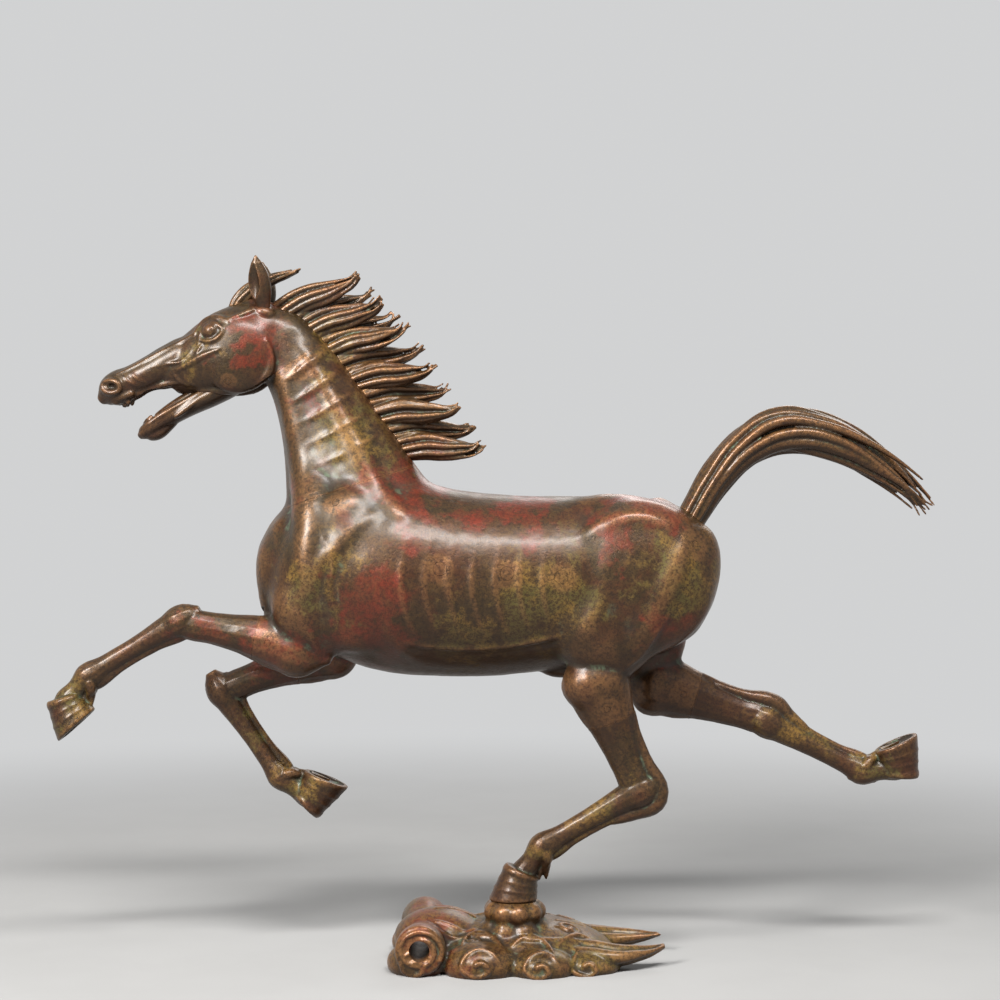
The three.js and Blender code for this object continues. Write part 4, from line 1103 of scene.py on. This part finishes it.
hosts = {"head_pin": neck, "jaw_pin": skull}
bars = {name: (*ends, pin_radius) for name, ends in pins.items()}
bars.update({name: (*ends, plug_radius) for name, ends in plugs.items()})
fittings = {}
for name, (start, end, radius) in bars.items():
    host = hosts.get(name, torso)
    fittings[name] = cut_with(bar(start, end, radius), host, "INTERSECT", keep_tool=True)
for name, (start, end, radius) in bars.items():
    cut_with(hosts.get(name, torso), bar(start, end, radius + hairline))

room_for(jaw_form, skull)
hair_roots = {
    "mane_lower": (neck,), "mane_middle": (neck,), "mane_upper": (neck, skull), "forelock": (skull,),
    "tail": (torso,),
}
for name, neighbours in hair_roots.items():
    for neighbour in neighbours:
        room_for(hair[name], neighbour)
for item in ears.values():
    room_for(item, skull)

castings = {
    "bronze_body": {
        "torso_shell": torso, "neck_shell": neck, "head": skull, "lower_jaw": jaw_form, **ears, **fittings,
    },
    "bronze_limb": limb_pieces,
    "bronze_hair": hair,
    "bronze_base": {"cloud_base": base_form},
}
pieces = {}
for slot, items in castings.items():
    for name, item in items.items():
        pieces[name] = finish_piece(item, name)
for spare in (trunk, neck_top):
    bpy.data.objects.remove(spare)


# Relief: how far a place stands out from what is round it, for wear on ridges, and for dark wax and green in
# grooves, the dark wax also being painted shade in the hollows

relief_rounds, relief_reach = 40, 0.5 * mm


def measure_relief(item):
    """Keeps on each vertex how far it stands out from a smoothed copy of the skin, from -1 to 1."""
    mesh = item.data
    count = len(mesh.vertices)
    places = np.empty(count * 3)
    normals = np.empty(count * 3)
    mesh.vertices.foreach_get("co", places)
    mesh.vertices.foreach_get("normal", normals)
    places, normals = places.reshape(-1, 3), normals.reshape(-1, 3)
    ends = np.empty(len(mesh.edges) * 2, dtype=np.int64)
    mesh.edges.foreach_get("vertices", ends)
    one, other = ends.reshape(-1, 2).T
    neighbours = np.maximum(np.bincount(np.concatenate([one, other]), minlength=count), 1)

    def halfway(values):
        """Moves each value half of the way to the mean of its neighbours."""
        total = np.zeros_like(values)
        for axis in range(values.shape[1]):
            column = values[:, axis]
            total[:, axis] = np.bincount(one, column[other], count) + np.bincount(other, column[one], count)
        return 0.5 * values + 0.5 * (total / neighbours[:, None])

    smooth = places
    for _ in range(relief_rounds):
        smooth = halfway(smooth)
    relief = np.einsum("ij,ij->i", places - smooth, normals)[:, None]
    for _ in range(2):
        relief = halfway(relief)
    layer = mesh.attributes.new("relief", "FLOAT", "POINT")
    layer.data.foreach_set("value", np.clip(relief[:, 0] / relief_reach, -1, 1).astype(np.float32))


for piece in pieces.values():
    measure_relief(piece)


# Finishes

def group(name, inputs, outputs):
    """A node group with named sockets. A number makes a value socket, and three numbers a colour."""
    tree = bpy.data.node_groups.new(name, "ShaderNodeTree")
    for label, value in inputs.items():
        kind = "NodeSocketColor" if isinstance(value, tuple) else "NodeSocketFloat"
        socket = tree.interface.new_socket(name=label, in_out="INPUT", socket_type=kind)
        socket.default_value = (*value, 1) if isinstance(value, tuple) else value
    for label, kind in outputs.items():
        tree.interface.new_socket(name=label, in_out="OUTPUT", socket_type=kind)
    return tree


def feed(tree, item, inputs):
    """Gives a node its inputs: numbers, colours, or sockets to link from."""
    for label, value in inputs.items():
        socket = item.inputs[label]
        if isinstance(value, bpy.types.NodeSocket):
            tree.links.new(value, socket)
        elif socket.type == "RGBA" and len(value) == 3:
            socket.default_value = (*value, 1)
        else:
            socket.default_value = value


def node(tree, kind, inputs=None, **settings):
    item = tree.nodes.new("ShaderNode" + kind)
    for label, value in settings.items():
        setattr(item, label, value)
    feed(tree, item, inputs or {})
    return item


def noise(tree, coords, scale, detail=4.0, roughness=0.6, warp=0.0, output="Fac"):
    inputs = {"Vector": coords, "Scale": scale, "Detail": detail, "Roughness": roughness, "Distortion": warp}
    return node(tree, "TexNoise", inputs).outputs[output]


def ramp(tree, value, low, high, to_low=0.0, to_high=1.0):
    """Turns a range of values softly into another range."""
    inputs = {"Value": value, "From Min": low, "From Max": high, "To Min": to_low, "To Max": to_high}
    return node(tree, "MapRange", inputs, interpolation_type="SMOOTHSTEP").outputs["Result"]


def chain(tree, operation, *values):
    total = values[0]
    for value in values[1:]:
        total = node(tree, "Math", {0: total, 1: value}, operation=operation).outputs[0]
    return total


def plus(tree, *values):
    return chain(tree, "ADD", *values)


def times(tree, *values):
    return chain(tree, "MULTIPLY", *values)


def most(tree, *values):
    return chain(tree, "MAXIMUM", *values)


def mix(tree, share, one, other):
    return node(tree, "Mix", {0: share, 6: one, 7: other}, data_type="RGBA").outputs[2]


def vector(tree, operation, inputs, output=0):
    return node(tree, "VectorMath", inputs, operation=operation).outputs[output]


def near(tree, coords, spots):
    """How near a surface is to soft areas with ragged outlines, given as x, z and radius."""
    ragged = noise(tree, coords, 42, 6, 0.62, output="Color")
    centred = vector(tree, "SUBTRACT", {0: ragged, 1: (0.5, 0.5, 0.5)})
    strayed = vector(tree, "MULTIPLY_ADD", {0: centred, 1: (0.11, 0.11, 0.11), 2: coords})
    flat = vector(tree, "MULTIPLY", {0: strayed, 1: (1, 0, 1)})
    areas = []
    for x, z, radius in spots:
        away = vector(tree, "DISTANCE", {0: flat, 1: (x * mm, 0, z * mm)}, "Value")
        areas.append(ramp(tree, away, radius * 1.3 * mm, radius * 0.25 * mm))
    return most(tree, *areas)


# Where the patina blushes red, and where a gold and green dust has settled on it
red_areas = [
    (-58, 172, 26), (-40, 234, 28), (-90, 272, 20), (74, 226, 26), (86, 160, 20), (-78, 152, 16),
    (10, 226, 18), (-120, 312, 16), (-30, 16, 20), (-136, 163, 20), (-104, 150, 16),
]
gold_areas = [
    (24, 182, 30), (98, 190, 24), (-86, 192, 21), (-68, 262, 25), (-82, 300, 15), (-14, 166, 16),
    (60, 8, 26), (-150, 300, 14), (-208, 132, 18), (-100, 84, 20), (-122, 108, 12), (150, 112, 22),
    (198, 98, 16), (28, 62, 18), (48, 72, 22),
]
paints = {
    "olive brown": (0.024, 0.017, 0.007),
    "russet": (0.06, 0.017, 0.008),
    "light brown": (0.06, 0.028, 0.01),
    "dark grain": (0.011, 0.007, 0.005),
    "red": (0.14, 0.014, 0.007),
    "dark red": (0.06, 0.008, 0.004),
    "gold": (0.18, 0.1, 0.018),
    "olive gold": (0.06, 0.055, 0.013),
    "dust": (0.17, 0.093, 0.02),
    "wax": (0.02, 0.016, 0.012),
    "green": (0.10, 0.15, 0.09),
    "rubbed copper": (0.26, 0.12, 0.048),
    "painted underside shade": (0.022, 0.011, 0.007),
}


def make_patina():
    """Waxed bronze patina: brown, with red, green and gold areas, pits, dark wax in grooves and wear, and
    painted shade in the grooves and on the underside.
    """
    tree = group(
        "patina",
        {"Brown": (0.09, 0.05, 0.032), "Red": 0.5, "Gold": 0.5, "Dust": 0.2, "Wear": 0.4},
        {
            "Color": "NodeSocketColor", "Roughness": "NodeSocketFloat", "Metallic": "NodeSocketFloat",
            "Height": "NodeSocketFloat",
        },
    )
    amounts = tree.nodes.new("NodeGroupInput").outputs
    coords = node(tree, "TexCoord").outputs["Object"]
    relief = node(tree, "Attribute", attribute_name="relief").outputs["Fac"]
    facing = node(tree, "SeparateXYZ", {0: node(tree, "NewGeometry").outputs["Normal"]}).outputs["Z"]

    broad = noise(tree, coords, 13, 5, 0.6, 0.5)
    cloudy = noise(tree, coords, 45, 7, 0.64, 0.6)
    blotchy = noise(tree, coords, 150, 7, 0.68, 0.4)
    speckled = noise(tree, coords, 620, 5, 0.72)
    fine = noise(tree, coords, 1900, 3, 0.7)
    pits = node(tree, "TexVoronoi", {"Vector": coords, "Scale": 420.0}).outputs["Distance"]
    grain = ramp(tree, plus(tree, times(tree, speckled, 0.6), times(tree, fine, 0.4)), 0.4, 0.6)
    clouds = plus(tree, times(tree, cloudy, 0.65), times(tree, blotchy, 0.5))

    def soft_area(pull, reach, low, high, least):
        """An area that is drawn to chosen places, clouded at two sizes, and broken up by the grain,
        though never below a share of itself."""
        area = ramp(tree, plus(tree, clouds, times(tree, pull, reach)), low, high)
        return times(tree, area, ramp(tree, grain, 0.0, 1.0, least, 1.0))

    red_pull = most(tree, near(tree, coords, red_areas), ramp(tree, broad, 0.58, 0.7, 0, 0.7))
    red = times(tree, soft_area(red_pull, 0.42, 0.68, 0.96, 0.5), amounts["Red"])
    gold_pull = near(tree, coords, gold_areas)
    gold = times(tree, soft_area(gold_pull, 0.36, 0.66, 0.98, 0.18), amounts["Gold"])
    dust = times(tree, ramp(tree, blotchy, 0.3, 0.66, 0.2, 1.0), ramp(tree, grain, 0.1, 0.9), amounts["Dust"])
    groove = ramp(tree, relief, -0.05, -0.75)
    ridge = times(tree, ramp(tree, relief, 0.1, 0.85), ramp(tree, speckled, 0.28, 0.62), amounts["Wear"])

    # Coats of colour over the brown ground, each with where it lies: clouds and grains, red areas,
    # gold and green dust, dark wax and green in the grooves (the dark wax also painted shade in the hollows),
    # rubbed ridges, and painted shade on the underside
    red_paint = mix(tree, ramp(tree, blotchy, 0.38, 0.62), paints["red"], paints["dark red"])
    gold_paint = mix(tree, ramp(tree, cloudy, 0.42, 0.6), paints["gold"], paints["olive gold"])
    colour = amounts["Brown"]
    for where, paint in (
        (ramp(tree, broad, 0.38, 0.6, 0, 0.8), paints["olive brown"]),
        (ramp(tree, cloudy, 0.48, 0.66, 0, 0.6), paints["russet"]),
        (ramp(tree, blotchy, 0.5, 0.68, 0, 0.5), paints["light brown"]),
        (times(tree, ramp(tree, grain, 0.5, 0.0), 0.5), paints["dark grain"]),
        (red, red_paint),
        (gold, gold_paint),
        (dust, paints["dust"]),
        # Dark wax in the grooves, which is also painted shade standing in for the shade that gathers in
        # hollows
        (times(tree, groove, 0.8), paints["wax"]),
        (times(tree, groove, ramp(tree, blotchy, 0.5, 0.66), 0.6), paints["green"]),
        (ridge, paints["rubbed copper"]),
        # Painted shade: the colour darkens on faces turned downwards, standing in for the shade under the
        # belly and limbs
        (ramp(tree, facing, 0.15, -0.8, 0, 0.75), paints["painted underside shade"]),
    ):
        colour = mix(tree, where, colour, paint)

    roughness = plus(
        tree, ramp(tree, blotchy, 0.3, 0.7, 0.32, 0.46), times(tree, gold, 0.14), times(tree, dust, 0.16),
        times(tree, groove, 0.2), times(tree, ridge, -0.1),
    )
    metallic = plus(
        tree, 0.34, times(tree, gold, -0.2), times(tree, dust, -0.15), times(tree, red, -0.2),
        times(tree, ridge, 0.4),
    )
    height = plus(
        tree, times(tree, ramp(tree, pits, 0.0, 0.42), 0.5), times(tree, fine, 0.35), speckled,
        times(tree, blotchy, 1.2),
    )
    results = {"Color": colour, "Roughness": roughness, "Metallic": metallic, "Height": height}
    feed(tree, tree.nodes.new("NodeGroupOutput"), results)
    return tree


def new_material(name):
    material = bpy.data.materials.new(name)
    material.use_nodes = True
    return material, material.node_tree, material.node_tree.nodes["Principled BSDF"]


def bump(tree, height, strength, distance):
    inputs = {"Strength": strength, "Distance": distance * mm, "Height": height}
    return node(tree, "Bump", inputs).outputs["Normal"]


patina = make_patina()


def bronze(name, amounts):
    """A patinated and waxed bronze, with amounts for the patina group."""
    material, tree, shader = new_material(name)
    cover = node(tree, "Group", amounts, node_tree=patina).outputs
    feed(tree, shader, {
        "Base Color": cover["Color"],
        "Roughness": cover["Roughness"],
        "Metallic": cover["Metallic"],
        "Normal": bump(tree, cover["Height"], 0.45, 0.3),
        "Specular IOR Level": 0.2,
        "Specular Tint": (1.0, 0.88, 0.76),
        "Coat Weight": 0.42,
        "Coat Roughness": 0.26,
        "Coat IOR": 1.45,
    })
    return material


def turned_steel():
    """Steel turned in a lathe and faintly stained."""
    material, tree, shader = new_material("turned_steel")
    coords = node(tree, "TexCoord").outputs["Object"]
    stretched = node(tree, "Mapping", {"Vector": coords, "Scale": (300.0, 300.0, 6000.0)}).outputs[0]
    lines = noise(tree, stretched, 1.0, 3, 0.5)
    stains = ramp(tree, noise(tree, coords, 240, 6, 0.65), 0.4, 0.7)
    feed(tree, shader, {
        "Base Color": mix(tree, stains, (0.42, 0.42, 0.43), (0.22, 0.17, 0.13)),
        "Roughness": ramp(tree, lines, 0.3, 0.7, 0.28, 0.5),
        "Normal": bump(tree, lines, 0.3, 0.05),
        "Metallic": 0.95,
    })
    return material


patinas = {
    "bronze_body": {"Brown": (0.043, 0.018, 0.008), "Red": 0.9, "Gold": 0.9, "Dust": 0.14, "Wear": 0.35},
    "bronze_limb": {"Brown": (0.038, 0.014, 0.007), "Red": 0.9, "Gold": 0.95, "Dust": 0.15, "Wear": 0.35},
    "bronze_hair": {"Brown": (0.056, 0.026, 0.01), "Red": 0.6, "Gold": 0.6, "Dust": 0.22, "Wear": 0.5},
    "bronze_base": {"Brown": (0.07, 0.032, 0.013), "Red": 0.9, "Gold": 1.0, "Dust": 0.6, "Wear": 0.6},
}
for slot, items in castings.items():
    cover = bronze(slot + "_patina", patinas[slot])
    for name in items:
        pieces[name].data.materials.clear()
        pieces[name].data.materials.append(cover)
steel = turned_steel()
for name in ("support_rod", "base_nut", "base_washer"):
    nodes[name].material_slots[0].material = steel


# Floor, light and camera

bpy.ops.mesh.primitive_plane_add(size=6, location=(0, 0, 0))
floor = settle(bpy.context.object)
floor.name = "floor"
ground_colour, ground_light = (0.64, 0.645, 0.65), (0.15, 0.153, 0.16)
fade_from, fade_to = 0.32, 1.0


def background_rays(tree):
    """1 for rays that show the plain background: seen straight, mirrored, or through something clear."""
    rays = node(tree, "LightPath").outputs
    return most(tree, *[rays[kind] for kind in ("Is Camera Ray", "Is Glossy Ray", "Is Transmission Ray")])


def paper(name):
    """A pale matt floor. Away from the object, it is seen to fade into the plain background."""
    material, tree, shader = new_material(name)
    coords = node(tree, "TexCoord").outputs["Object"]
    clouds = ramp(tree, noise(tree, coords, 7, 5), 0.3, 0.7)
    feed(tree, shader, {
        "Base Color": mix(tree, clouds, (0.34, 0.338, 0.332), (0.36, 0.358, 0.352)),
        "Roughness": 1.0,
        "Specular IOR Level": 0.1,
    })
    away = vector(tree, "LENGTH", {0: coords}, "Value")
    fade = times(tree, ramp(tree, away, fade_from, fade_to), background_rays(tree))
    glow = node(tree, "Emission", {"Color": ground_colour, "Strength": 1.0})
    blend = node(tree, "MixShader", {0: fade, 1: shader.outputs[0], 2: glow.outputs[0]})
    feed(tree, tree.nodes["Material Output"], {"Surface": blend.outputs[0]})
    return material


floor.data.materials.append(paper("floor_paper"))
world = bpy.data.worlds.new("studio")
bpy.context.scene.world = world
world.use_nodes = True
tree = world.node_tree
colour = mix(tree, background_rays(tree), ground_light, ground_colour)
feed(tree, tree.nodes["Background"], {"Color": colour, "Strength": 1.0})

lamps = {
    # name: place and target in metres, size, watts, colour
    "key": ((-0.8, -1.0, 0.86), (-0.02, 0, 0.2), (0.34, 0.44), 32, (1, 0.985, 0.97)),
    "top": ((0.15, -0.85, 1.25), (0.01, 0, 0.19), (0.8, 0.14), 25, (1, 0.99, 0.98)),
    "fill": ((1.1, -1.1, 0.5), (0, 0, 0.18), (0.9, 0.9), 1, (0.96, 0.98, 1)),
    "back": ((0.5, 1.1, 1.0), (0, 0, 0.2), (1.0, 0.5), 6, (1, 1, 1)),
}
for name, (place, target, size, power, colour) in lamps.items():
    light = bpy.data.lights.new(name, "AREA")
    light.shape = "RECTANGLE"
    light.size, light.size_y = size
    light.energy = power
    light.color = colour
    lamp = bpy.data.objects.new(name, light)
    bpy.context.scene.collection.objects.link(lamp)
    place, target = Vector(place), Vector(target)
    turn = (target - place).to_track_quat("-Z", "Y").to_matrix().to_4x4()
    lamp.matrix_world = Matrix.Translation(place) @ turn

lens = bpy.data.cameras.new("camera")
lens.lens, lens.sensor_width = 72, 36
camera = bpy.data.objects.new("camera", lens)
bpy.context.scene.collection.objects.link(camera)
camera.location = (0.0025, -1.0, 0.23)
camera.rotation_euler = (math.radians(90), 0, 0)
bpy.context.scene.camera = camera
bpy.context.scene.view_settings.view_transform = "Standard"
